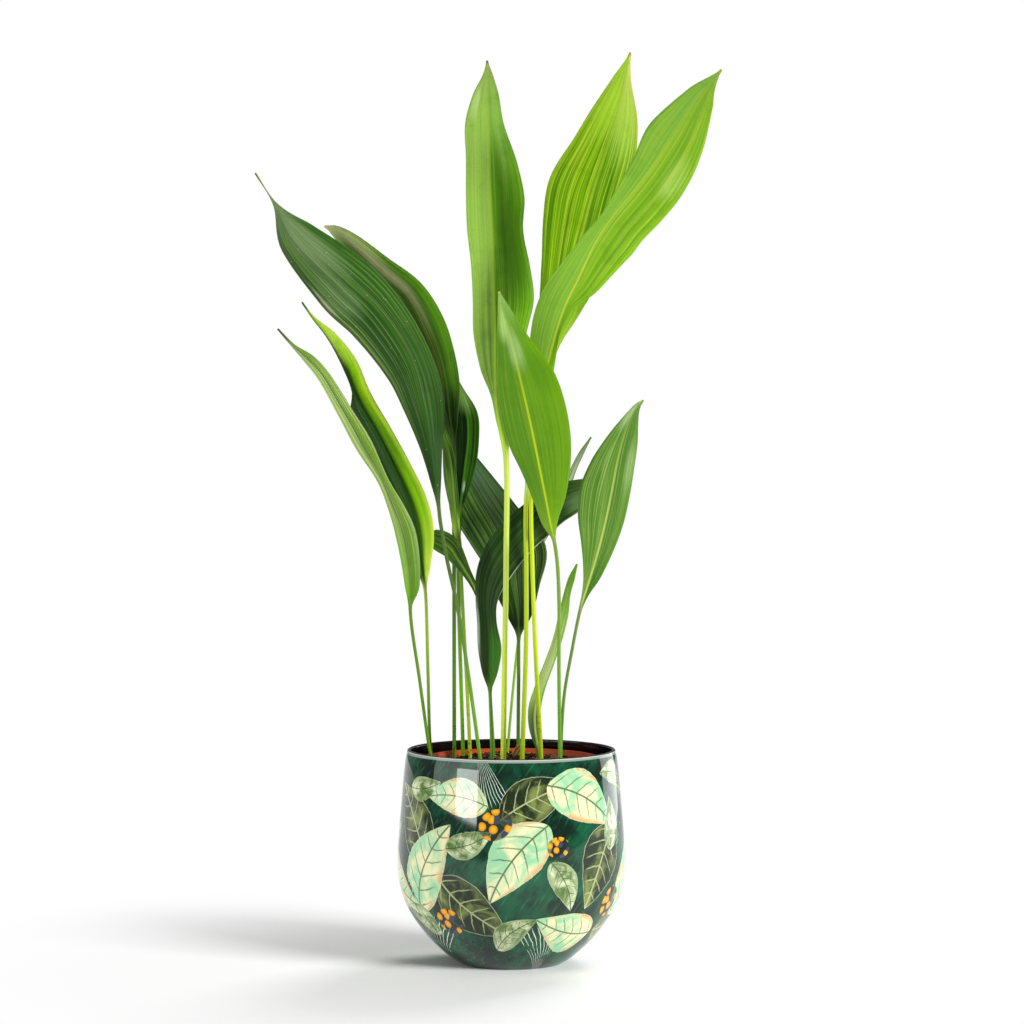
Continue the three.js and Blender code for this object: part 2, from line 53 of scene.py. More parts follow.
# Short names for nodes that recur: Blender's own name, its settings, the sockets that a list of values goes
# to in turn, and the output that is used. Where a noise's values are named below, they are its scale, detail,
# roughness and distortion.
shortNames = {
    "noise": ("ShaderNodeTexNoise", {}, ("Vector", "Scale", "Detail", "Roughness", "Distortion"), 0),
    "ramp": ("ShaderNodeMapRange", {"interpolation_type": "SMOOTHSTEP"}, range(5), 0),
    "range": ("ShaderNodeMapRange", {}, range(5), 0),
    "blend": ("ShaderNodeMix", {"data_type": "RGBA"}, (0, 6, 7), 2),
    "bump": ("ShaderNodeBump", {}, ("Height", "Strength", "Distance"), 0),
    "uv": ("ShaderNodeUVMap", {}, (), 0),
    "split": ("ShaderNodeSeparateXYZ", {}, (0,), (0, 1)),
    "join": ("ShaderNodeCombineXYZ", {}, range(3), 0),
    "length": ("ShaderNodeVectorMath", {"operation": "LENGTH"}, (0,), "Value"),
    "cells": ("ShaderNodeTexVoronoi", {}, ("Vector", "Scale", "Randomness"), "Distance"),
    "objectPlace": ("ShaderNodeTexCoord", {}, (), "Object"),
    "principled": ("ShaderNodeBsdfPrincipled", {}, (), 0),
    "surface": ("ShaderNodeOutputMaterial", {}, ("Surface",), 0),
}
for operation in ("add", "subtract", "multiply", "divide", "power", "maximum", "absolute", "fract", "round",
                  "sine"):
    shortNames[operation] = ("ShaderNodeMath", {"operation": operation.upper()}, range(2), 0)


# Adds a node with its settings and links, and gives back the output that is used. A value is a number, a
# colour as hex text, another node's output, or a tuple with the short name and the values of a node to add.
def addNode(tree, kind, values=(), output=None, **settings):
    kind, fixed, sockets, usual = shortNames.get(kind, (kind, {}, range(9), 0))
    node = tree.nodes.new(kind)
    for name, value in {**fixed, **settings}.items():
        setattr(node, name, value)
    for socket, value in values.items() if isinstance(values, dict) else zip(sockets, values):
        if isinstance(value, tuple) and value[0] in shortNames:
            value = addNode(tree, value[0], value[1:])
        if isinstance(value, bpy.types.NodeSocket):
            tree.links.new(value, node.inputs[socket])
        else:
            node.inputs[socket].default_value = linearColour(value) if isinstance(value, str) else value
    output = usual if output is None else output
    if isinstance(output, tuple):
        return [node.outputs[i] for i in output]
    return node.outputs[output] if node.outputs else None


# Gives back a new empty material, and the function that adds nodes to it.
def newMaterial(name):
    material = bpy.data.materials.new(name)
    material.use_nodes = True
    material.node_tree.nodes.clear()
    return material, partial(addNode, material.node_tree)


def finishPiece(name, bm, materials, replaced):
    mesh = bpy.data.meshes.new(name)
    for face in bm.faces:
        face.smooth = True
    bm.to_mesh(mesh)
    bm.free()
    for material in materials:
        mesh.materials.append(material)
    piece = bpy.data.objects.new(name, mesh)
    bpy.context.scene.collection.objects.link(piece)
    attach(piece, "root")
    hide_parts(*replaced)


def mix(a, b, share):
    return a + (b - a) * share


def smoothStep(value, low, high):
    share = min(max((value - low) / (high - low), 0), 1)
    return share * share * (3 - 2 * share)


# A smooth value through a list of numbers, at a place counted in steps along the list.
def smoothValue(values, place):
    last = len(values) - 1
    step = min(int(place), last - 1)
    share = place - step
    before, here = values[max(step - 1, 0)], values[step]
    after, beyond = values[step + 1], values[min(step + 2, last)]
    square, cube = share ** 2, share ** 3
    return (
        here * (2 * cube - 3 * square + 1)
        + (after - before) / 2 * (cube - 2 * square + share)
        + after * (3 * square - 2 * cube)
        + (beyond - here) / 2 * (cube - square)
    )


# A point on the smooth curve through a stem's and blade's middle points, the curve that the solids follow.
def curvePoint(points, place):
    last = len(points) - 1
    place = min(max(place, 0), last)
    step = min(int(place), last - 1)
    share = place - step
    p1, p2 = points[step], points[step + 1]
    p0 = points[step - 1] if step > 0 else p1 * 2 - p2
    p3 = points[step + 2] if step + 2 <= last else p2 * 2 - p1
    d0, d1, d2 = [math.sqrt((b - a).length) for a, b in ((p0, p1), (p1, p2), (p2, p3))]
    t1 = ((p1 - p0) / d0 - (p2 - p0) / (d0 + d1) + (p2 - p1) / d1) * d1
    t2 = ((p2 - p1) / d1 - (p3 - p1) / (d1 + d2) + (p3 - p2) / d2) * d1
    return p1 + t1 * share + (p2 * 3 - p1 * 3 - t1 * 2 - t2) * share ** 2 + (
        p1 * 2 - p2 * 2 + t1 + t2) * share ** 3


studio = {
    "cameraPlace": (0.0006, -2.780, 0.470),
    "cameraTiltDown": 1.55,  # degrees
    "lens": 111.7,
    "sensor": 36.0,
    "clipEnd": 50.0,
    "worldColour": "#ffffff",
    "worldStrength": 0.2,
    "backgroundStrength": 1.0,
}

cameraData = bpy.data.cameras.new("camera")
cameraData.lens = studio["lens"]
cameraData.sensor_width = studio["sensor"]
cameraData.clip_end = studio["clipEnd"]
camera = bpy.data.objects.new("camera", cameraData)
camera.location = studio["cameraPlace"]
camera.rotation_euler = (math.radians(90 - studio["cameraTiltDown"]), 0, 0)
bpy.context.scene.collection.objects.link(camera)
bpy.context.scene.camera = camera
bpy.context.scene.view_settings.view_transform = "Standard"

# Each lamp: the side that it stands on (degrees, 0 in front, 90 to the right), its height and distance
# from the plant's middle, the height that it aims at, its width and length, and its power in watts. The
# floor lamp and the rim lamp light the paper alone, so that the shadow is as deep as in the photograph. The
# others leave the paper out: the key, the fill and the left softbox light the plant, and the window pane
# and the strip are there for what the glaze mirrors.
lamps = {
    "keySoftbox": (62, 1.35, 4.0, 0.4, (0.55, 0.65), 170),
    "frontFill": (-10, 1.9, 2.6, 0.4, (1.4, 1.0), 5),
    "leftSoftbox": (-62, 0.68, 1.2, 0.68, (1.2, 1.04), 7),
    "windowPane": (-46.5, 0.3, 1.6, 0.165, (0.68, 0.25), 4.6),
    "rightStrip": (128, 0.2, 1.8, 0.15, (1.1, 0.55), 5),
    "backRim": (150, 1.5, 1.8, 0.6, (0.9, 0.9), 28),
    "floorLamp": (53, 3.9, 12.0, 0.0, (5.0, 3.6), 2550),
}
unseenLamps = ("keySoftbox", "floorLamp")  # these two aren't mirrored in the glaze
paperLamps = ("floorLamp", "backRim")


def addLamp(name, side, height, distance, aim, size, power):
    data = bpy.data.lights.new(name, "AREA")
    data.shape = "RECTANGLE"
    data.size, data.size_y = size
    data.energy = power
    holder = bpy.data.objects.new(name, data)
    turn = math.radians(side)
    holder.location = (distance * math.sin(turn), -distance * math.cos(turn), height)
    toMiddle = Vector((0, 0, aim)) - holder.location
    holder.rotation_euler = toMiddle.to_track_quat("-Z", "Y").to_euler()
    holder.visible_glossy = name not in unseenLamps
    bpy.context.scene.collection.objects.link(holder)
    return holder


lampHolders = {lampName: addLamp(lampName, *lamp) for lampName, lamp in lamps.items()}


def makeWorld():
    world = bpy.data.worlds.new("studio")
    world.use_nodes = True
    world.node_tree.nodes.clear()
    put = partial(addNode, world.node_tree)
    isSeen = put("ShaderNodeLightPath", output="Is Camera Ray")
    lighting = put("ShaderNodeBackground", [studio["worldColour"], studio["worldStrength"]])
    seen = put("ShaderNodeBackground", [studio["worldColour"], studio["backgroundStrength"]])
    shown = put("ShaderNodeMixShader", [isSeen, lighting, seen])
    put("ShaderNodeOutputWorld", {"Surface": shown})
    bpy.context.scene.world = world


makeWorld()

# Metres. Between the two glow radii the paper turns from lit paper to pure white.
floorLook = {
    "size": 6.0, "segments": 64, "colour": "#ffffff", "glowFrom": 0.12, "glowTo": 0.56, "lift": 0.04,
    "grainNoise": (900.0, 2.0), "bumpStrength": 0.05, "bumpDepth": 0.0002,
}


# White paper sweep, matt: it takes the plant's soft shadow, and runs out to pure white further off.
def makeFloor():
    s = floorLook
    bm = bmesh.new()
    bmesh.ops.create_circle(bm, cap_ends=True, segments=s["segments"], radius=s["size"])
    mesh = bpy.data.meshes.new("floor")
    bm.to_mesh(mesh)
    bm.free()
    floor = bpy.data.objects.new("floor", mesh)
    bpy.context.scene.collection.objects.link(floor)
    material, put = newMaterial("whitePaperSweep")
    place = put("objectPlace")
    bump = put("bump", [("noise", place, *s["grainNoise"]), s["bumpStrength"], s["bumpDepth"]])
    paper = put("ShaderNodeBsdfDiffuse", {"Color": s["colour"], "Normal": bump})
    lift = put("ShaderNodeEmission", [s["colour"], s["lift"]])
    lit = put("ShaderNodeAddShader", [paper, lift])
    white = put("ShaderNodeEmission", [s["colour"], 1.0])
    glow = put("ramp", [("length", place), s["glowFrom"], s["glowTo"]])
    put("surface", [put("ShaderNodeMixShader", [glow, lit, white])])
    mesh.materials.append(material)
    for lampName, holder in lampHolders.items():
        papers = bpy.data.collections.new("papersOf_" + lampName)
        papers.objects.link(floor)
        holder.light_linking.receiver_collection = papers
        lightsPaper = "INCLUDE" if lampName in paperLamps else "EXCLUDE"
        papers.collection_objects[0].light_linking.link_state = lightsPaper


makeFloor()
print("studio ready")


# Each leaf is one piece, a stem that widens into a blade, in millimetres. stem: points on its middle line.
# blade: points on the midrib, each with how far the blade reaches to the left and the right, seen from the
# front. swing: how far each half leans to the front for each millimetre that it reaches sideways, at the
# blade's foot and tip. bow: how much each half is arched. wave: how far the margins wave.
leafShapes = {
    "leaf_long_dark_left": {
        "stemRadius": 1.6, "swing": ((0.5, 0.4), (0.1, 0.3)), "bow": -0.2, "wave": 1.5,
        "stem": [
            (-22.5, -42, 150), (-25.9, -42, 175), (-39, -42, 268), (-46.8, -43, 315), (-55.4, -44, 354.5),
            (-58, -45, 369), (-61.4, -45, 389)],
        "blade": [
            (-62.6, -45, 401, 1.8, 1.8), (-68.3, -47, 447, 8.5, 9), (-76, -50, 489, 17.5, 19.2),
            (-85.5, -54, 524, 25, 19), (-112.6, -62, 567.5, 30.5, 21), (-140.5, -70, 595, 31, 22.5),
            (-181.3, -84, 632, 18.5, 14.5), (-199.3, -91, 657, 2, 2), (-215.7, -97, 683, 0.8, 0.8)]},
    "leaf_dark_behind_left": {
        "stemRadius": 1.7, "swing": ((-0.3, 0.4), (-0.4, 0.4)), "bow": 0.1, "wave": 1,
        "stem": [
            (-50.5, 22, 150), (-50.5, 22, 175), (-50.6, 24, 345), (-50.8, 25, 400)],
        "blade": [
            (-50.6, 26, 453, 1.8, 1.8), (-54.1, 27, 482, 3.5, 7.5), (-56.8, 28, 506, 10, 11.4),
            (-62.2, 31, 533, 12.5, 12.3), (-72.1, 36, 559.5, 14, 13.6), (-88.2, 42, 588.5, 13.5, 11.5),
            (-114.3, 50, 612, 14, 8.6), (-142.3, 58, 636, 11, 5.8), (-156.8, 62, 645, 6.5, 3.8),
            (-166.9, 66, 648.5, 0.8, 0.8)]},
    "leaf_dark_crumpled": {
        "stemRadius": 1.7, "swing": ((0.2, -0.3), (0.2, -0.3)), "bow": 0.2, "wave": 1,
        "stem": [
            (-42.9, 38, 150), (-42.9, 38, 175), (-47.3, 42, 341), (-46.6, 44, 372)],
        "blade": [
            (-45.6, 46, 395, 1.7, 1.7), (-43.9, 46, 413, 4, 6), (-41.2, 46, 435, 9, 9.8),
            (-38.5, 46, 457.5, 12, 9.8), (-39.4, 46, 480, 12, 9.6), (-45.7, 46, 502, 8, 3.5),
            (-52.5, 46, 518, 4, 1.5), (-58, 46, 529, 0.8, 0.8)]},
    "leaf_narrow_edge_on": {
        "stemRadius": 1.6, "swing": ((1.1, -0.9), (0.8, -0.9)), "bow": 0, "wave": 0.4,
        "stem": [
            (-35.8, 10, 150), (-36.2, 10, 175), (-38.9, 10, 238), (-44.2, 10, 339)],
        "blade": [
            (-44.6, 10, 356, 1.6, 1.6), (-47.7, 10, 379, 3.4, 2.8), (-49.9, 10, 400.5, 4.6, 4),
            (-51.6, 10, 422.5, 5.2, 3.8), (-53.8, 10, 440, 5.2, 4.2), (-57.3, 10, 456, 4, 3.6),
            (-61.7, 10, 471, 2.8, 2.6), (-67.9, 10, 489, 0.8, 0.8)]},
    "leaf_bright_left": {
        "stemRadius": 1.4, "swing": ((-0.8, -0.2), (-0.6, -0.2)), "bow": 0.1, "wave": 1,
        "stem": [
            (-66.3, 7, 158), (-69.2, 7, 175), (-71.3, 6, 190), (-72.7, -12, 253)],
        "blade": [
            (-74.6, -30, 328, 1.5, 1.5), (-77.2, -31, 345.5, 4.4, 7), (-80.7, -32, 375.5, 8.7, 14),
            (-87.6, -31, 401.5, 10.5, 15.7), (-100.7, -29, 432, 12.2, 14.4), (-115.6, -26, 462, 12.5, 13),
            (-130.5, -22, 487, 11, 13), (-137, -19.5, 500, 1.6, 13), (-146, -16, 522.5, 1.4, 12.5),
            (-159.1, -12, 546.5, 1.2, 7.5), (-172.9, -8, 564, 0.9, 2), (-182.6, -5, 578, 0.8, 0.8)]},
    "leaf_outermost_left": {
        "stemRadius": 1.4, "swing": ((0.6, 0.9), (0.5, 0.9)), "bow": 0, "wave": 1,
        "stem": [
            (-66.3, -7, 158), (-69.2, -7, 175), (-72, -8.5, 190), (-79.4, -28, 248)],
        "blade": [
            (-87, -50, 313.5, 1.5, 1.5), (-85, -52, 333, 6.4, 6.4), (-90.1, -54, 376, 8.8, 8.8),
            (-98.9, -58, 401, 6.9, 6.9), (-109.4, -63, 424.5, 5.4, 4), (-126.2, -70, 455, 7.5, 7.5),
            (-140, -76, 479.5, 6.6, 6.6), (-159.9, -84, 513.5, 5.4, 5.4), (-171.1, -88, 526.5, 4.6, 4.6),
            (-183.9, -92, 537.5, 1.7, 1.7), (-197.1, -96, 552, 0.8, 0.8)]},
    "leaf_tall_middle": {
        "stemRadius": 2.4, "swing": ((0.35, -0.15), (0.3, -0.25)), "bow": -0.15, "wave": 2,
        "stem": [
            (-7.3, -30, 150), (-7.2, -30, 175), (-4.6, -30, 354)],
        "blade": [
            (-4.6, -29, 442, 2.4, 2.4), (-7.2, -28, 458, 2.2, 6), (-10.7, -28, 475, 2.6, 12),
            (-13.3, -28, 497, 4.6, 16.5), (-14.1, -28, 518.5, 12.5, 21), (-14.1, -28, 549, 18.6, 27),
            (-15, -27, 579, 18.4, 34.5), (-15.9, -25, 609.5, 19, 32), (-16.7, -22, 640.5, 21.6, 27),
            (-18.1, -18, 670.5, 21.2, 29.5), (-18.6, -13, 701.5, 20.8, 23.4), (-19.4, -7, 733, 20.8, 13),
            (-20.4, 0, 759.5, 13, 9.5), (-20.8, 5, 777, 4, 4.8), (-21.2, 9, 789.5, 0.8, 0.8)]},
    "leaf_glowing_right": {
        "stemRadius": 1.9, "swing": ((0.2, -0.1), (0.35, -0.2)), "bow": -0.15, "wave": 2,
        "stem": [
            (26.5, -25, 150), (26.1, -25, 175), (20.5, -28, 284.5), (18, -26, 354)],
        "blade": [
            (17.1, -20, 405.5, 2, 2), (19.8, -16, 445, 4, 4), (24.1, -14, 479.5, 8, 8),
            (29.3, -11, 510, 12, 3.5), (35.5, -7, 540.5, 17, 6.5), (43.5, -2, 571.5, 20, 16.5),
            (51.4, 4, 607, 26, 28), (60.4, 12, 642, 34, 32), (69.4, 20, 676, 37.5, 32),
            (82, 30, 714, 28.5, 30), (92.8, 38, 745.5, 21.5, 20.5), (101.1, 45, 777, 11, 5.5),
            (105.6, 50, 801.5, 0.8, 0.8)]},
    "leaf_long_right": {
        "stemRadius": 2, "swing": ((0.2, 0.3), (0.4, 0.2)), "bow": -0.15, "wave": 2,
        "stem": [
            (8.8, -40, 150), (9.1, -40, 175), (12.7, -42, 285.5), (12.7, -44, 354.5)],
        "blade": [
            (12.6, -46, 402, 2, 2), (15.2, -48, 423.5, 3.4, 3.4), (19.5, -50, 458, 7, 7),
            (24.6, -52, 492.5, 12, 7.7), (31.5, -53, 524, 17, 6), (39.2, -55, 552.5, 22.3, 3.5),
            (46.9, -57, 574, 23.2, 8), (56.2, -60, 593, 20.6, 19), (73.2, -66, 628.5, 12, 31),
            (85.9, -71, 647.5, 9, 32.5), (102.7, -77, 668, 13.5, 34.5), (117.8, -83, 687.5, 17.5, 34.5),
            (136.1, -90, 714, 22, 29), (159.4, -98, 749.5, 10, 14), (170.9, -102, 761.5, 4.2, 3),
            (176.6, -105, 769, 0.8, 0.8)]},
    "leaf_front_middle": {
        "stemRadius": 1.6, "swing": ((0.4, 0.4), (0.2, 0.2)), "bow": -0.2, "wave": 1,
        "stem": [
            (42, -45, 150), (42, -45, 175), (41, -47, 262.5), (41, -50, 320.5), (39.2, -52, 355)],
        "blade": [
            (36.6, -54, 372, 1.6, 1.6), (33.2, -58, 388, 7.3, 6.9), (29.7, -62, 406.5, 10.5, 17),
            (24.5, -67, 432.5, 15.5, 26.5), (19.4, -71, 458, 21.8, 31.5), (13.4, -75, 485.5, 23, 32.4),
            (7.4, -79, 511, 20.5, 29), (2.3, -83, 532.5, 14.5, 19.6), (-2.8, -87, 553, 9.4, 11),
            (-7.8, -91, 572.5, 3.8, 4.6), (-10.4, -93, 583.5, 0.8, 0.8)]},
    "leaf_small_right": {
        "stemRadius": 1.4, "swing": ((0.3, 0.4), (0.1, 0.3)), "bow": -0.1, "wave": 1,
        "stem": [
            (42.7, -18, 150), (42.9, -18, 175), (45.8, -18, 233.5), (52.8, -19, 275)],
        "blade": [
            (59.7, -20, 309.5, 1.5, 1.5), (64, -21, 324, 2.8, 3.5), (69.2, -23, 340.5, 7, 8.5),
            (76.1, -27, 364, 16, 12.3), (82, -32, 389, 25, 15.3), (87.1, -38, 415, 27.6, 15.8),
            (91.2, -44, 438.5, 21.8, 15.2), (96.2, -50, 459.5, 13, 13), (102.9, -56, 478, 5.5, 7),
            (108.8, -60, 487.5, 3, 2.2), (113, -62, 492, 0.8, 0.8)]},
    "leaf_dark_arching": {
        "stemRadius": 1.5, "swing": ((0.5, 0.4), (-0.2, 0.1)), "bow": -0.1, "wave": 1,
        "stem": [
            (-16.6, -22, 150), (-16.7, -22, 175)],
        "blade": [
            (-18.5, -22, 238, 1.5, 1.5), (-19.4, -22, 256.5, 6, 8), (-19.4, -22, 277, 9.5, 11),
            (-20.2, -22, 300, 9.5, 7.5), (-21.1, -22, 319, 10, 9.5), (-17.6, -21, 339, 13.5, 15),
            (-8.1, -18, 357, 17, 17), (6.7, -14, 375, 17.4, 17.4), (21.5, -10, 388, 17.4, 17.4),
            (35.5, -6, 399, 16.5, 16.5), (50.5, -2, 407, 15, 15), (67.1, 0, 414, 10.5, 10.5),
            (81.2, 2, 418, 5.5, 5.5), (93.5, 3, 420, 0.8, 0.8)]},
    "leaf_dark_broad": {
        "stemRadius": 1.6, "swing": ((0.3, 0.3), (0, 0.2)), "bow": -0.1, "wave": 1,
        "stem": [
            (5.9, 20, 150), (5.9, 20, 175)],
        "blade": [
            (6.4, 24, 281, 1.6, 1.6), (5.9, 26, 303, 10, 13), (2.4, 31, 326.5, 17.5, 24),
            (-2.9, 40, 351, 21.5, 36), (-14.5, 50, 377.5, 25.5, 28.5), (-29.9, 62, 404, 26, 24),
            (-42.6, 74, 429, 19.5, 18), (-51.7, 84, 451, 11, 11), (-57.3, 91, 471, 4, 4),
            (-61, 96, 486, 0.8, 0.8)]},
    "leaf_small_dark_left": {
        "stemRadius": 1.2, "swing": ((0.2, -0.2), (0.3, -0.4)), "bow": 0, "wave": 0.5,
        "stem": [
            (-15, 6, 150), (-15, 6, 175), (-18.5, 2, 236), (-20, -1, 262)],
        "blade": [
            (-25.6, -6, 307.5, 1.3, 1.3), (-31.7, -8, 328.5, 2.6, 2.6), (-39.5, -9, 342.5, 4, 4.4),
            (-46.5, -9, 353, 6, 7.5), (-53.5, -9, 363.5, 8.5, 9.5), (-61.3, -9, 369.5, 9.5, 9.5),
            (-69.2, -9, 372.5, 7, 7), (-77, -9, 373, 0.8, 0.8)]},
    "leaf_slender_back": {
        "stemRadius": 1.2, "swing": ((0.3, -0.3), (0.3, -0.3)), "bow": 0, "wave": 0.4,
        "stem": [
            (-4.5, 38, 150), (-3.7, 38, 175), (4.2, 44, 262), (7.7, 50, 288), (17.5, 56, 337)],
        "blade": [
            (27.5, 58, 364, 1.2, 1.2), (39.9, 61, 390.5, 4, 4), (48.9, 65, 411, 4.5, 3),
            (56.3, 70, 430.5, 3.6, 2), (63.6, 76, 446, 2.6, 1.8), (71.8, 82, 460, 0.8, 0.8)]},
    "leaf_young_right": {
        "stemRadius": 1.2, "swing": ((0.6, -0.5), (-0.4, 0.5)), "bow": 0, "wave": 0.5,
        "stem": [
            (23.6, 6, 150), (23.5, 6, 175)],
        "blade": [
            (23.4, 6, 184, 1.3, 1.3), (20.8, 7, 203.5, 5, 4.5), (20.8, 8, 221, 6, 5.2),
            (25.2, 9, 238.5, 5.2, 4.4), (33.1, 11, 260.5, 4.4, 4.4), (40.1, 14, 282.5, 3.5, 4.8),
            (45.3, 17, 304.5, 3.5, 5.2), (49.7, 20, 322, 3.5, 2.6), (54.2, 23, 336.5, 3.4, 2.2),
            (58, 25, 348, 0.8, 0.8)]},
    "dry_sheath": {
        "stemRadius": 1.2, "swing": ((0.8, 0.8), (0.5, 0.5)), "bow": 0, "wave": 0.4,
        "stem": [
            (2, 6, 168), (2, 6, 175)],
        "blade": [
            (2.2, 6, 179, 1.6, 1.6), (3.5, 5, 184, 2.6, 3), (6.5, 4, 188, 2.2, 2.6), (9, 3, 191, 0.8, 0.8)]},
}

# What each leaf looks like, beside what most leaves share. Of a pair of colours, the first is for the blade's
# left half and the second for its right one; a stem's pair is for the soil and for the blade.
# left, right, halfBlend: the two halves, and where across the blade one runs into the other.
# shade, shading, bands: the darker streaks, how strong they are, and how strong the broad ones are beside it.
# stripe, stripes: the paler streaks. rib, ribbing: the midrib. foot, tip: the blade's two ends.
# edge, edging, edgeFrom: the margin, how much it shows, and where across a half it starts.
# dry, dryColour: the share of the blade, at its tip, that has dried. specks: brown ones low on the stem.
# dust: pale specks on the blade. grain: fine mottling. pleats, pleatDepth: how many a half has, and how deep.
# glow: how much light runs on inside. shine: the strength of its mirroring.
# patches: where each lies across and along the blade, how far it reaches both ways, its colour and strength.
# Some patches, and the halves of one leaf, are painted light, as noted with each leaf.
leafDefaults = {
    "halfBlend": (-0.06, 0.06), "shading": 0.5, "bands": 0.8, "ribbing": 0.8, "edgeFrom": 0.965,
    "edging": 0.4, "dry": 0.004, "dryColour": "#7a6230", "specks": 0.0, "patches": (), "dust": 0.0,
    "grain": 0.2, "pleats": 4.0, "pleatDepth": 0.3, "glow": 0.12, "roughness": 0.42, "shine": 0.2,
}
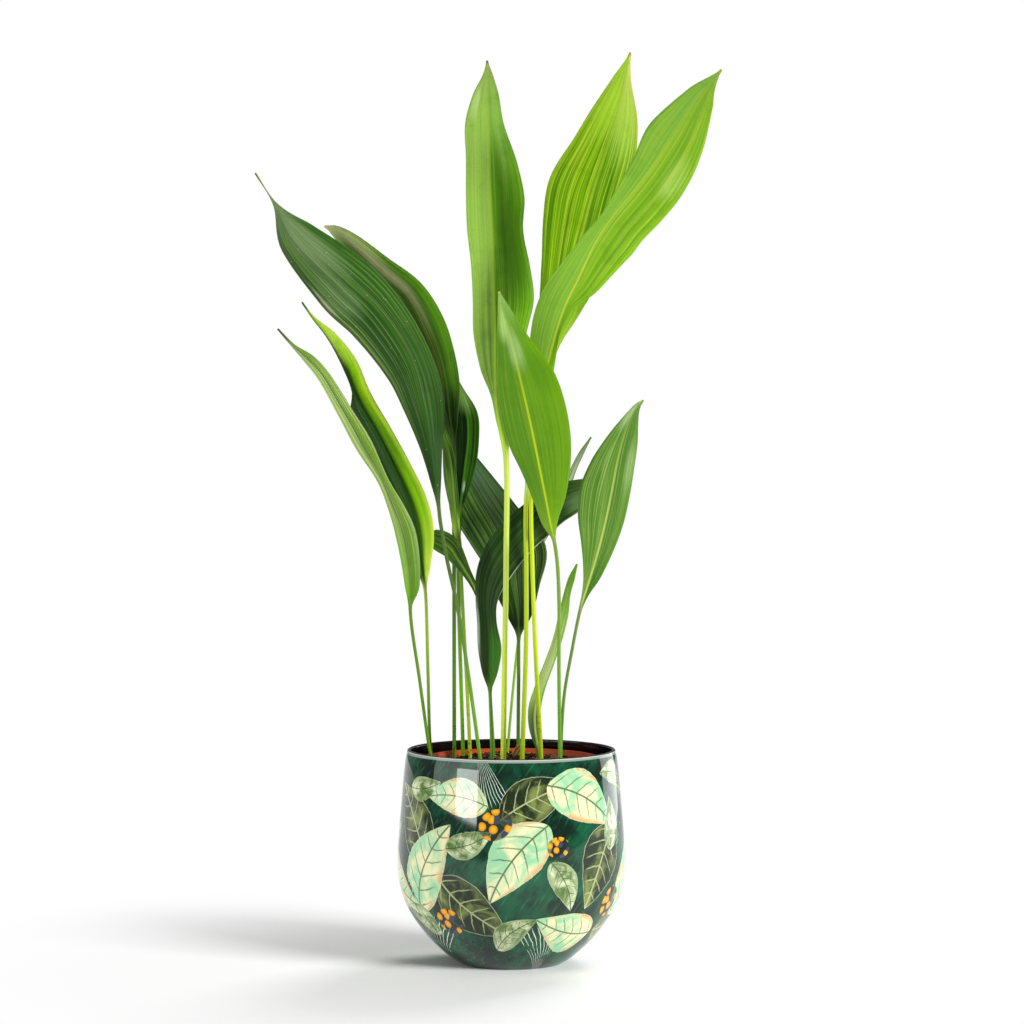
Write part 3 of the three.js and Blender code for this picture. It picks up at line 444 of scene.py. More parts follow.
leafLooks = {
    # Its grey-olive tip colour and its first patch are painted sheen on the tip half, over the leaf's own
    # green.
    "leaf_long_dark_left": {
        "left": "#254518", "right": "#2b5a12", "shade": "#113006", "stripe": "#77974a", "stripes": 0.42,
        "rib": "#336017", "ribbing": 0.5, "foot": ("#1c3411", "#20401a"), "tip": ("#84986a", "#8c9c70"),
        "stem": ("#6ea42c", "#4e6a30"), "edge": ("#8c7a68", "#5c7048"), "edging": 0.6, "dry": 0.05,
        "dryColour": "#6a7428", "specks": 0.2, "pleats": 5.0, "pleatDepth": 0.42, "glow": 0.08,
        "shine": 0.16, "dust": 0.35, "halfBlend": (-0.5, 0.3),
        "patches": (
            (0.1, 0.74, 0.75, 0.14, "#84986a", 0.55), (-0.88, 0.62, 0.08, 0.06, "#a8a88c", 0.4),
            (-0.45, 0.6, 0.5, 0.1, "#74905c", 0.35), (0.6, 0.1, 0.6, 0.12, "#405c38", 0.5))},
    "leaf_dark_behind_left": {
        "left": "#30480c", "right": "#447c04", "shade": "#0f3102", "shading": 0.45, "stripe": "#80a037",
        "stripes": 0.3, "rib": "#4d741b", "ribbing": 0.4, "foot": ("#020802", "#041002"),
        "tip": ("#a8b878", "#b8b088"), "stem": ("#5e8e1f", "#466225"), "edge": ("#6c8050", "#6c9c1c"),
        "edgeFrom": 0.9, "edging": 0.5, "specks": 0.9, "pleats": 3.0, "pleatDepth": 0.35, "shine": 0.06,
        "patches": (
            (-0.1, 0.66, 0.42, 0.3, "#888a60", 0.75), (0.75, 0.46, 0.4, 0.22, "#64a008", 0.7),
            (0.4, 0.78, 0.7, 0.16, "#94a460", 0.75), (0.2, 0.12, 1.0, 0.14, "#071a02", 0.75))},
    # The near-black left half is painted shade, where it lies in shadow behind its neighbours; the first
    # patch, near white, is a painted glint.
    "leaf_dark_crumpled": {
        "left": "#051c02", "right": "#2c5a08", "shade": "#051602", "shading": 0.6, "stripe": "#3b6a19",
        "stripes": 0.3, "rib": "#3e701e", "foot": ("#061404", "#0a2405"), "tip": ("#7ca850", "#a0b880"),
        "stem": ("#77b20e", "#4e760e"), "edge": "#6c8a58", "specks": 1.0, "pleats": 3.0, "pleatDepth": 0.7,
        "glow": 0.08, "roughness": 0.3, "shine": 0.15,
        "patches": (
            (0.1, 0.16, 0.3, 0.05, "#dce8d8", 0.6), (0.2, 0.7, 1.1, 0.16, "#84a858", 0.75),
            (0.3, 0.06, 1.0, 0.08, "#0c2006", 0.6))},
    "leaf_narrow_edge_on": {
        "left": "#4a6c1c", "right": "#2c5a08", "shade": "#0e2502", "stripe": "#6c8834", "stripes": 0.55,
        "rib": "#617f2c", "foot": ("#a0c048", "#9cdc34"), "tip": ("#22380f", "#0e1e06"),
        "stem": ("#abc91e", "#658c21"), "edge": "#8ca868", "specks": 1.0, "pleats": 2.0, "roughness": 0.35,
        "shine": 0.3,
        "patches": (
            (0.0, 0.58, 1.4, 0.2, "#0c2402", 0.85), (0.6, 0.14, 0.6, 0.12, "#b0e050", 0.6))},
    # Painted light and shade: the near-black left half and the first patch are painted shade on the half that
    # turns away from the lamps; the bright right half, its pale edge and foot, and the last two patches are
    # painted backlight shining through it, over the leaf's own green.
    "leaf_bright_left": {
        "left": "#021b02", "right": "#7cb608", "shade": "#245b02", "shading": 0.45, "stripe": "#6da511",
        "stripes": 0.35, "rib": "#1e4a04", "ribbing": 0.9, "foot": ("#1c4c02", "#b8d040"),
        "tip": ("#71a911", "#a0b040"), "stem": ("#54881b", "#98b339"), "edge": ("#1c4008", "#c0dc48"),
        "dry": 0.05, "dryColour": "#48602c", "pleats": 2.0, "glow": 0.06, "grain": 0.05,
        "halfBlend": (0.1, 0.5), "edgeFrom": 0.6, "edging": 0.7, "shine": 0.12,
        "patches": (
            (-0.7, 0.45, 0.75, 0.4, "#103004", 0.8), (0.75, 0.6, 0.4, 0.2, "#a4d414", 0.8),
            (0.4, 0.82, 0.8, 0.12, "#bce04c", 0.6))},
    "leaf_outermost_left": {
        "left": "#7c964e", "right": "#7a9e38", "shade": "#567e27", "shading": 0.3, "stripe": "#d0d8a0",
        "stripes": 0.6, "rib": "#8cac50", "ribbing": 0.3, "foot": ("#5e9210", "#528a11"),
        "tip": ("#81846d", "#778a3d"), "stem": ("#658f20", "#5b7e20"), "edge": ("#8cc02c", "#7c9c54"),
        "edging": 0.7, "dry": 0.07, "dryColour": "#5c5840", "pleats": 2.5, "pleatDepth": 0.35, "glow": 0.04,
        "roughness": 0.5, "shine": 0.1, "grain": 0.06},
    # The first patch is a painted shadow, cast on the right half by the leaves to its right; the third, pale
    # one is a painted highlight.
    "leaf_tall_middle": {
        "left": "#8cb448", "right": "#588f12", "shade": "#276102", "shading": 0.35, "stripe": "#abcf4f",
        "stripes": 0.3, "rib": "#b3cf34", "ribbing": 0.6, "foot": ("#b8e054", "#5f7c1f"),
        "tip": ("#80984c", "#94a058"), "stem": ("#dcf640", "#c0d65a"), "edge": ("#98bc6c", "#5c9024"),
        "dry": 0.012, "specks": 0.15, "pleats": 3.0, "pleatDepth": 0.45, "glow": 0.18, "roughness": 0.4,
        "bands": 0.2,
        "patches": (
            (0.6, 0.56, 0.6, 0.17, "#2c6004", 0.5), (0.5, 0.8, 0.6, 0.14, "#8cb850", 0.6),
            (-0.7, 0.84, 0.25, 0.06, "#c0d890", 0.5), (0.85, 0.3, 0.3, 0.16, "#84b820", 0.5))},
    # The first patch, and partly the pale right foot, are painted backlight: light shining through the lower
    # right part, which the long right leaf keeps in shade.
    "leaf_glowing_right": {
        "left": "#7ba808", "right": "#5c8d09", "shade": "#336802", "shading": 0.7, "stripe": "#b5ca38",
        "stripes": 0.6, "rib": "#376404", "ribbing": 0.7, "foot": ("#5c9410", "#a4d834"),
        "tip": ("#98b93c", "#cbd164"), "stem": ("#a4be07", "#c2d622"), "edge": "#a8cc48", "dry": 0.012,
        "dryColour": "#b08c2c", "specks": 0.5, "pleatDepth": 0.5, "glow": 0.3,
        "patches": (
            (0.7, 0.3, 0.5, 0.2, "#a0c838", 0.85), (0.5, 0.82, 0.6, 0.12, "#a8cc4c", 0.55),
            (0.2, 0.52, 0.14, 0.2, "#3c6a08", 0.6), (-0.3, 0.84, 0.6, 0.1, "#a4cc34", 0.4))},
    # The first patch is a painted highlight.
    "leaf_long_right": {
        "left": "#76a530", "right": "#77ab09", "shade": "#437e07", "stripe": "#acc942", "stripes": 0.42,
        "rib": "#d5da45", "ribbing": 0.42, "foot": ("#b8d878", "#b8e468"), "tip": ("#6f953a", "#86a53b"),
        "stem": ("#9bb50a", "#a7bd1e"), "edge": ("#8cb454", "#7cb024"), "dry": 0.012, "dryColour": "#b08c2c",
        "specks": 0.1, "glow": 0.2, "roughness": 0.36,
        "patches": (
            (0.65, 0.74, 0.35, 0.06, "#b8d468", 0.45), (0.3, 0.08, 1.5, 0.1, "#c8ec78", 0.6))},
    # The first patch is a painted sheen.
    "leaf_front_middle": {
        "left": "#4d7b12", "right": "#5d8f02", "shade": "#3d7003", "shading": 0.3, "stripe": "#86a724",
        "stripes": 0.28, "rib": "#b6c61e", "foot": ("#6e9123", "#74a10e"), "tip": ("#94b154", "#84a860"),
        "stem": ("#619a1b", "#749636"), "edge": ("#8cb45c", "#6ca02c"), "dry": 0.012, "dryColour": "#c4c064",
        "pleats": 3.5, "glow": 0.18, "roughness": 0.36,
        "patches": (
            (0.05, 0.72, 0.5, 0.12, "#b4cc90", 0.4), (-0.4, 0.82, 0.6, 0.1, "#b4d47c", 0.5),
            (0.6, 0.62, 0.5, 0.12, "#447804", 0.5))},
    # The first patch is painted highlights, pale glints near the right margin.
    "leaf_small_right": {
        "left": "#578624", "right": "#5f9227", "shade": "#3f6e18", "stripe": "#bcd07b", "stripes": 0.36,
        "rib": "#c7d569", "foot": ("#79994c", "#437915"), "tip": ("#9eba70", "#6f9438"),
        "stem": ("#608626", "#6d8642"), "edge": "#84ac64", "dry": 0.02, "dryColour": "#8c8c44",
        "pleats": 4.5, "pleatDepth": 0.4, "glow": 0.15, "roughness": 0.36,
        "patches": (
            (0.7, 0.6, 0.3, 0.15, "#b0c88c", 0.4), (0.6, 0.18, 0.6, 0.14, "#38680c", 0.6),
            (-0.5, 0.82, 0.6, 0.12, "#b4d094", 0.6))},
    # The first patch is partly painted light: the lower right half at the foot is lighter where it faces the
    # light, over its own green.
    "leaf_dark_arching": {
        "left": "#19380d", "right": "#203f13", "shade": "#0a1f03", "stripe": "#54733b", "stripes": 0.25,
        "rib": "#33571c", "ribbing": 0.4, "foot": ("#2c421c", "#43870f"), "tip": ("#6b8b37", "#86aa77"),
        "stem": ("#70a331", "#5a8537"), "edge": ("#2f4828", "#b4c0a8"), "edgeFrom": 0.93, "edging": 0.85,
        "specks": 0.2, "glow": 0.05, "roughness": 0.4,
        "patches": (
            (0.5, 0.12, 0.6, 0.12, "#38781a", 0.8), (-0.95, 0.22, 0.25, 0.12, "#a8b8a0", 0.7),
            (0.4, 0.82, 0.8, 0.12, "#70905c", 0.5), (0.6, 0.6, 0.5, 0.14, "#58783c", 0.4))},
    "leaf_dark_broad": {
        "left": "#2a4e13", "right": "#28431d", "shade": "#183709", "stripe": "#8db15e", "stripes": 0.4,
        "rib": "#507f31", "ribbing": 0.35, "foot": ("#020a02", "#040a02"), "tip": ("#162014", "#162013"),
        "stem": ("#5a8712", "#45691d"), "edge": "#7c8c74", "glow": 0.06, "roughness": 0.4,
        "patches": (
            (0.5, 0.64, 0.6, 0.16, "#648860", 0.5),)},
    "leaf_small_dark_left": {
        "left": "#3a7018", "right": "#3a6a1c", "shade": "#244b0c", "stripe": "#b0d25c", "stripes": 0.35,
        "rib": "#a2c653", "foot": ("#33590e", "#4c8e26"), "tip": ("#6aa02f", "#639e23"),
        "stem": ("#4a8424", "#34682c"), "edge": ("#7c986c", "#4c6c3c"), "pleats": 3.0, "pleatDepth": 0.25,
        "glow": 0.1, "roughness": 0.36, "shine": 0.35},
    "leaf_slender_back": {
        "left": "#677e4e", "right": "#6c8553", "shade": "#42622d", "shading": 0.4, "stripe": "#b7bea5",
        "stripes": 0.4, "rib": "#afb59d", "foot": ("#54783c", "#54783c"), "tip": ("#5a703e", "#6d834e"),
        "stem": ("#88b828", "#98b43c"), "edge": "#8c9c80", "pleats": 2.0, "pleatDepth": 0.2,
        "roughness": 0.45},
    "leaf_young_right": {
        "left": "#8ea754", "right": "#8cb848", "shade": "#4c7122", "shading": 0.4, "stripe": "#d0d8a8",
        "stripes": 0.4, "rib": "#adb779", "foot": ("#1f3c12", "#385228"), "tip": ("#5cac05", "#84c01a"),
        "stem": ("#447c2c", "#4c7c3c"), "edge": "#94ac78", "pleats": 2.0, "pleatDepth": 0.25, "glow": 0.18,
        "shine": 0.15,
        "patches": (
            (0.0, 0.16, 1.4, 0.14, "#2c4c1c", 0.7), (0.2, 0.42, 1.4, 0.1, "#c8dca8", 0.3),
            (0.0, 0.8, 1.4, 0.24, "#5c9c10", 0.75))},
}

leafBuild = {
    "faceColumns": 27,  # points across each face, from one margin to the other
    "ringSpacing": 4.6,  # millimetres along the leaf
    "halfThickness": 0.32,  # millimetres, in the middle of a half blade
    "marginHalfThickness": 0.15,
    "tipRadius": 0.45,
    "rippleLength": 14.0,  # radians of a margin's ripple from foot to tip, as the solids have it
    "rippleShift": 2.4,
    "fineRippleLength": 41.0,
    "fineRipple": 0.28,  # beside the main wave
    "pleatedHalfWidth": 12,  # millimetres: a narrower half has shallower pleats
    "pleatShift": 1.7,  # radians between the pleats of the two halves
    "ribWidth": 0.95,  # of the midrib's hump, beside the stem's radius
    "leastRib": 0.5,
    "frontRib": 0.1,  # what the front keeps of the hump, once the rib has sunk into the blade
    "ribSinks": (0.05, 0.5),
    "backRidge": 0.35,  # millimetres that the rib stands out at the back, at the blade's foot
    "joinSteps": (0.3, 0.5),  # before and after the blade's foot, over which the stem widens
    "curveSteps": 600,
    "tangentStep": 0.02,
    "stemFlutes": 5,
    "stemFluteDepth": 0.05,  # beside the stem's radius
}


def sectionDirections(tangent):
    right = Vector((0, 1, 0)).cross(tangent).normalized()
    return right, right.cross(tangent).normalized()


# Where each column of a ring lies: how far across the blade (-1 to 1), on which face, and at which angle
# round the stem.
def ringColumns():
    count = leafBuild["faceColumns"]
    columns = []
    for i in range(2 * count):
        onFront = i < count
        across = -1 + 2 * i / (count - 1) if onFront else 1 - 2 * (i - count) / (count - 1)
        columns.append((across, onFront, math.pi - (i + 0.5) * math.pi / count))
    return columns + [columns[0]]


def leafCurve(shape):
    stations = shape["stem"] + shape["blade"]
    points = [Vector(station[:3]) for station in stations]
    radius, last, steps = shape["stemRadius"], len(stations) - 1, leafBuild["curveSteps"]
    places = [last * i / steps for i in range(steps + 1)]
    middles = [curvePoint(points, place) for place in places]
    lengths = [0.0]
    for a, b in zip(middles, middles[1:]):
        lengths.append(lengths[-1] + (b - a).length)
    widths = [station[3:] if len(station) > 3 else (radius, radius) for station in stations]
    return {
        "points": points, "foot": len(shape["stem"]), "last": last, "radius": radius, "places": places,
        "lengths": lengths, "widths": tuple(zip(*widths))}


def placeAt(curve, length):
    lengths, places = curve["lengths"], curve["places"]
    i = min(max(bisect.bisect_right(lengths, length), 1), len(lengths) - 1)
    return mix(places[i - 1], places[i], (length - lengths[i - 1]) / max(lengths[i] - lengths[i - 1], 1e-9))


def bladePoint(shape, look, curve, across, onFront, place, middle, right, front):
    s = leafBuild
    along = (place - curve["foot"]) / (curve["last"] - curve["foot"])
    side = 0 if across < 0 else 1
    width = max(smoothValue(curve["widths"][side], place), s["tipRadius"])
    reach = abs(across)
    lean = mix(shape["swing"][0][side], shape["swing"][1][side], along)
    swell = math.sin(math.pi * min(max(along, 0), 1))
    ripple = shape["wave"] * swell * (
        reach ** 2 * math.sin(s["rippleLength"] * along + s["rippleShift"] * side)
        + s["fineRipple"] * reach ** 4 * math.sin(s["fineRippleLength"] * along + side))
    pleat = look["pleatDepth"] * swell ** 0.5 * min(width / s["pleatedHalfWidth"], 1)
    pleat *= (1 - reach ** 4) * min(reach * 4, 1)
    pleat *= math.cos(2 * math.pi * look["pleats"] * reach + s["pleatShift"] * side)
    depth = width * (lean * reach + shape["bow"] * reach ** 2) + ripple + pleat
    turn = math.atan(lean + 2 * shape["bow"] * reach) * (1 if across > 0 else -1 if across < 0 else 0)
    normal = front * math.cos(turn) - right * math.sin(turn)
    half = mix(s["halfThickness"], s["marginHalfThickness"], reach ** 3)
    rib = mix(curve["radius"], half, min(2 * along, 1))
    hump = math.exp(-((across * width) / (s["ribWidth"] * max(rib, s["leastRib"]))) ** 2)
    raised = mix(1.0, s["frontRib"], smoothStep(along, *s["ribSinks"])) if onFront else 1.0
    ridge = 0.0 if onFront else s["backRidge"] * (1 - along)
    thickness = half + (max(rib - half, 0) * raised + ridge) * hump
    point = middle + right * (width * across) + front * depth
    return point + normal * (thickness if onFront else -thickness)


def stemPoint(curve, angle, middle, right, front):
    flutes = 1 + leafBuild["stemFluteDepth"] * math.cos(leafBuild["stemFlutes"] * angle)
    radius = curve["radius"] * flutes
    return middle + right * (radius * math.cos(angle)) + front * (radius * math.sin(angle))


# A grid is rolled up into one closed skin: its columns run round the stem and blade, its rows up the leaf.
# Its two maps hold how far across and along the blade a corner lies, as shares and in metres.
def makeLeaf(name, shape, look, material):
    curve = leafCurve(shape)
    points, foot, fullLength = curve["points"], curve["foot"], curve["lengths"][-1]
    columns = ringColumns()
    around = len(columns) - 1
    bm = bmesh.new()
    shareMap = bm.loops.layers.uv.new("leafShare")
    lengthMap = bm.loops.layers.uv.new("leafLength")
    bmesh.ops.create_grid(
        bm, x_segments=around, y_segments=int(fullLength / leafBuild["ringSpacing"]), size=1)
    joinFrom, joinTo = foot - leafBuild["joinSteps"][0], foot + leafBuild["joinSteps"][1]
    step = leafBuild["tangentStep"]
    rings, spots = {}, {}
    for vert in bm.verts:
        column = round((vert.co.x + 1) / 2 * around)
        length = fullLength * (vert.co.y + 1) / 2
        place = placeAt(curve, length)
        if place not in rings:
            tangent = curvePoint(points, place + step) - curvePoint(points, place - step)
            rings[place] = (curvePoint(points, place), *sectionDirections(tangent.normalized()))
        across, onFront, angle = columns[column]
        point = stemPoint(curve, angle, *rings[place])
        if place > joinFrom:
            onBlade = bladePoint(shape, look, curve, across, onFront, place, *rings[place])
            point = point.lerp(onBlade, smoothStep(place, joinFrom, joinTo))
        vert.co = point * mm
        along = (place - foot) / (curve["last"] - foot)
        width = smoothValue(curve["widths"][0 if across < 0 else 1], place)
        spots[vert] = ((across, along), (across * width * mm, length * mm))
    for face in bm.faces:
        for loop in face.loops:
            loop[shareMap].uv, loop[lengthMap].uv = spots[loop.vert]
    bmesh.ops.remove_doubles(bm, verts=bm.verts, dist=mergeWithin)
    bmesh.ops.holes_fill(bm, edges=[edge for edge in bm.edges if edge.is_boundary], sides=0)
    bmesh.ops.recalc_face_normals(bm, faces=bm.faces)
    finishPiece(name + "_blade", bm, [material], [name])


# The tissue's patterns. A pair is where a colour starts to show and where it shows fully: for the foot, tip
# and stem as a share of the blade, for noise as its value, and otherwise in metres.
tissueBuild = {
    # Each kind of streak: millimetres between two where the blade is widest, how many follow in a metre, its
    # detail, and the shares of the greatest half width between which it fades in. Where the blade narrows,
    # the streaks are too close together to be seen.
    "streaks": ((8.0, 3.5, 2.0, 0.04, 0.12), (2.2, 4.5, 2.0, 0.15, 0.40), (1.1, 8.0, 1.0, 0.38, 0.75)),
    "streakRoughness": 0.55,
    # Each layer of paint: which streaks, where it shows, its colour, and how much of it
    "layers": (
        (0, 0.48, 0.68, "shade", "bands"), (0, 0.44, 0.26, "stripe", 0.5), (1, 0.50, 0.70, "shade", 0.75),
        (1, 0.48, 0.28, "stripe", 0.9), (2, 0.52, 0.66, "stripe", 0.9), (2, 0.48, 0.34, "shade", 0.55)),
    "foot": (0.3, 0.0), "tip": (0.72, 1.0), "tipAmount": 0.8, "stem": (0.07, -0.02),
    "patch": (1.05, 0.25), "patchRagged": 1.6, "patchStreaks": (0.4, 0.6, 0.7, 1.25),
    "mottleNoise": (55.0, 3.0, 0.6), "mottle": (0.5, 0.75), "mottleAmount": 0.25,
    "grainNoise": (950.0, 2.0, 0.6), "grain": (0.52, 0.72),
    "rib": (1.4 * mm, 0.5 * mm), "ribEnds": (1.0, 0.3),
    "dustScale": 110.0, "dust": (0.075, 0.04), "dustColour": "#b8c4a8",
    "stemPales": (0.03, 0.2), "stemShade": 0.15,
    "speckScale": 330.0, "speck": (0.36, 0.2), "speckPlace": (0.46, 0.56), "speckHeight": (0.12, 0.04),
    "speckColour": "#4a3416", "dryFrom": 1.3, "dryTo": 0.6,  # beside the share that has dried
    "roughLimits": (0.3, 0.7), "roughSpread": (-0.06, 0.1), "fineRelief": 0.6, "relief": (0.3, 0.5 * mm),
    "seedStep": 7.3,
    "glowReach": (0.8, 1.0, 0.3), "glowDepth": 1.2 * mm,  # how far light runs on inside, by colour
}


# Living leaf tissue, tough and satiny. Parallel veins run from the stem to the tip, so the colour lies in
# long streaks that draw together at both ends, with a paler midrib. Light shows through it a little.
def leafMaterial(name, look, seed, widestHalf):
    s = tissueBuild
    material, put = newMaterial(name)
    across, along = put("split", [put("uv", uv_map="leafShare")])
    sideways, upwards = put("split", [put("uv", uv_map="leafLength")])
    place = put("objectPlace")
    onRight = put("ramp", [across, *look["halfBlend"]])
    halfWidth = put("divide", [sideways, across])

    # A colour may be one for the whole blade, or a pair for its left and right halves
    def halves(colours):
        return colours if isinstance(colours, str) else put("blend", [onRight, *colours])

    def paint(colour, share, other, amount=1):
        return put("blend", [share if amount == 1 else ("multiply", share, amount), colour, other])

    streaks, seen = [], []
    for spacing, upCount, detail, fadesFrom, fadesTo in s["streaks"]:
        spot = ("join", ("multiply", across, widestHalf / spacing), ("multiply", upwards, upCount),
                seed + spacing)
        streaks.append(put("noise", [spot, 1.0, detail, s["streakRoughness"]]))
        seen.append(put("ramp", [halfWidth, fadesFrom * widestHalf * mm, fadesTo * widestHalf * mm]))
    _, middling, fine = streaks
    colour = halves((look["left"], look["right"]))
    for kind, low, high, other, amount in s["layers"]:
        amount = look["bands"] if amount == "bands" else amount
        amount *= look["shading" if other == "shade" else "stripes"]
        share = ("multiply", ("ramp", streaks[kind], low, high), seen[kind])
        colour = paint(colour, share, look[other], amount)
    colour = paint(colour, ("ramp", along, *s["foot"]), halves(look["foot"]))
    colour = paint(colour, ("ramp", along, *s["tip"]), halves(look["tip"]), s["tipAmount"])
    ragged = put("multiply", [("subtract", middling, 0.5), s["patchRagged"]])
    streaky = put("range", [fine, *s["patchStreaks"]])
    # Patches painted over the streaks; some are painted light: shadow, shade, sheen, highlights and backlight
    for middleAcross, middleAlong, reachAcross, reachAlong, patchColour, amount in look["patches"]:
        far = ("length", ("join", ("divide", ("subtract", across, middleAcross), reachAcross),
                          ("divide", ("subtract", along, middleAlong), reachAlong), ragged))
        share = ("multiply", ("ramp", far, *s["patch"]), streaky)
        colour = paint(colour, share, patchColour, amount)
    mottle = put("noise", [place, *s["mottleNoise"]])
    colour = paint(colour, ("ramp", mottle, *s["mottle"]), look["shade"], s["mottleAmount"])
    grain = ("ramp", ("noise", place, *s["grainNoise"]), *s["grain"])
    colour = paint(colour, grain, look["shade"], look["grain"])
    rim = ("ramp", ("absolute", across), look["edgeFrom"], 1.0)
    colour = paint(colour, rim, halves(look["edge"]), look["edging"])
    rib = ("multiply", ("ramp", ("absolute", sideways), *s["rib"]), ("ramp", along, *s["ribEnds"]))
    colour = paint(colour, rib, look["rib"], look["ribbing"])
    dust = ("ramp", ("cells", place, s["dustScale"]), *s["dust"])
    colour = paint(colour, dust, s["dustColour"], look["dust"])

    stem = paint(look["stem"][0], ("ramp", upwards, *s["stemPales"]), look["stem"][1])
    stem = paint(stem, ("ramp", middling, *s["mottle"]), look["shade"], s["stemShade"])
    specked = ("multiply", ("ramp", ("cells", place, s["speckScale"]), *s["speck"]),
               ("ramp", mottle, *s["speckPlace"]))
    specked = ("multiply", specked, ("ramp", upwards, *s["speckHeight"]))
    stem = paint(stem, specked, s["speckColour"], look["specks"])
    colour = paint(colour, ("ramp", along, *s["stem"]), stem)
    dry = look["dry"]
    dryShare = ("ramp", along, 1 - s["dryFrom"] * dry, 1 - s["dryTo"] * dry)
    colour = paint(colour, dryShare, look["dryColour"])
    spread = [look["roughness"] + change for change in s["roughSpread"]]
    relief = ("multiply", ("add", ("multiply", fine, s["fineRelief"]), middling), seen[2])
    put("surface", [put("principled", {
        "Base Color": colour, "Roughness": put("range", [fine, *s["roughLimits"], *spread]),
        "IOR": 1.45, "Specular IOR Level": look["shine"], "Normal": put("bump", [relief, *s["relief"]]),
        "Subsurface Weight": look["glow"], "Subsurface Radius": s["glowReach"],
        "Subsurface Scale": s["glowDepth"]})])
    return material


for seed, (name, ownLook) in enumerate(leafLooks.items()):
    look = leafDefaults | ownLook
    widestHalf = max(max(station[3:]) for station in leafShapes[name]["blade"])
    tissue = leafMaterial("livingTissue_" + name, look, seed * tissueBuild["seedStep"], widestHalf)
    makeLeaf(name, leafShapes[name], look, tissue)
print("leaves made:", len(leafLooks))


planterShape = {
    # Radius and height of the outside, from the foot up to the lip, in millimetres
    "outside": [
        (45.6, 0.0), (46.5, 0.5), (53.5, 5), (62, 12), (71.3, 21), (80.2, 32), (87.8, 43), (94, 55),
        (98, 68), (100, 86), (99.2, 107), (96.4, 143), (93.4, 175), (91.5, 185.4)],
    "lip": [(91.15, 186.4), (90.4, 187.0), (88.9, 187.0), (88.15, 186.5), (87.9, 185.6)],
    "inside": [
        (89.8, 175), (92.8, 143), (95.6, 107), (96.4, 86), (94, 68), (89.5, 56), (82.5, 44), (73.5, 32),
        (63, 20), (56, 12), (51, 7)],
    "rowsPerStep": 6, "insideRowsPerStep": 2,
    "turnSteps": 256,
    "lipFrom": 184.2,  # above this height the print thins out
    "blackFrom": 186.6,  # and above this one the glaze is black
    "floorRadius": 50.5, "floorFrom": 5,  # within this radius and above this height lies the inner floor
    "footHeight": 0.2, "outwardFrom": 0.05,  # the print covers what faces outwards, above the foot
}

# The print: painted leaves, berries and grass in a layout of the builder's own. Each row is one motif: its
# side (degrees, 0 in front, 90 to the right), its height, length and width in millimetres, how far it is
# turned from lying to the right (degrees, anticlockwise), and how much it curves.
printLayout = {
    "darkLeaves": [
        (-62, 128, 82, 46, 128, 0.25), (-20, 60, 78, 44, -38, 0.2), (14, 150, 74, 40, 24, -0.25),
        (52, 92, 80, 48, -118, 0.2), (92, 140, 76, 44, 150, 0.2), (128, 70, 84, 46, 48, -0.2),
        (166, 132, 80, 46, -60, 0.25), (-158, 66, 80, 44, 118, 0.2), (-126, 136, 78, 46, 20, -0.2),
        (-98, 62, 78, 44, -140, 0.25), (78, 40, 60, 34, 10, 0.2), (-178, 24, 50, 30, 10, 0.2)],
    "paleLeaves": [
        (-44, 92, 88, 50, 62, -0.3), (4, 98, 84, 48, -128, 0.3), (40, 146, 80, 46, -28, -0.3),
        (80, 84, 86, 50, 58, 0.3), (120, 138, 84, 48, -150, -0.3), (152, 84, 84, 48, -20, 0.3),
        (-172, 140, 82, 46, 140, 0.3), (-140, 92, 86, 50, -50, -0.3), (-106, 146, 80, 46, 165, 0.3),
        (-78, 78, 84, 48, -30, 0.3), (34, 42, 66, 38, 165, -0.3), (-30, 150, 60, 34, 175, 0.3),
        (-118, 34, 58, 34, 30, 0.3), (118, 36, 58, 34, 150, -0.3)],
    "smallLeaves": [
        (-22, 118, 46, 24, 20, 0.3), (26, 78, 48, 26, -64, -0.3), (60, 128, 46, 24, 84, 0.3),
        (100, 104, 46, 24, -30, 0.3), (138, 112, 46, 24, 66, -0.3), (174, 98, 46, 24, 176, 0.3),
        (-152, 116, 46, 24, -16, 0.3), (-122, 66, 44, 24, 100, -0.3), (-88, 112, 46, 24, 38, 0.3),
        (-60, 44, 46, 26, 158, 0.3), (2, 36, 44, 24, 40, -0.3), (158, 44, 42, 24, 20, 0.3),
        (-52, 162, 42, 22, 10, 0.3), (66, 168, 40, 22, 170, 0.3), (146, 168, 40, 22, 20, 0.3)],
    "berries": [
        (-8, 132, 34, 28, 30, 0.0), (-36, 46, 30, 26, 0, 0.0), (62, 60, 32, 26, 60, 0.0),
        (104, 166, 34, 28, 0, 0.0), (136, 44, 30, 26, 40, 0.0), (-164, 100, 34, 28, 0, 0.0),
        (-96, 100, 32, 26, 50, 0.0), (24, 112, 24, 20, 10, 0.0), (-136, 168, 30, 26, 0, 0.0)],
    "grass": [
        (-56, 28, 62, 60, 60, 0.0), (20, 22, 56, 50, 108, 0.0), (62, 112, 54, 44, 70, 0.0),
        (104, 62, 60, 52, 110, 0.0), (-12, 168, 52, 40, -70, 0.0), (160, 60, 60, 50, 80, 0.0),
        (-142, 40, 60, 50, 100, 0.0), (-100, 118, 56, 46, -100, 0.0), (172, 168, 50, 40, -90, 0.0)],
}

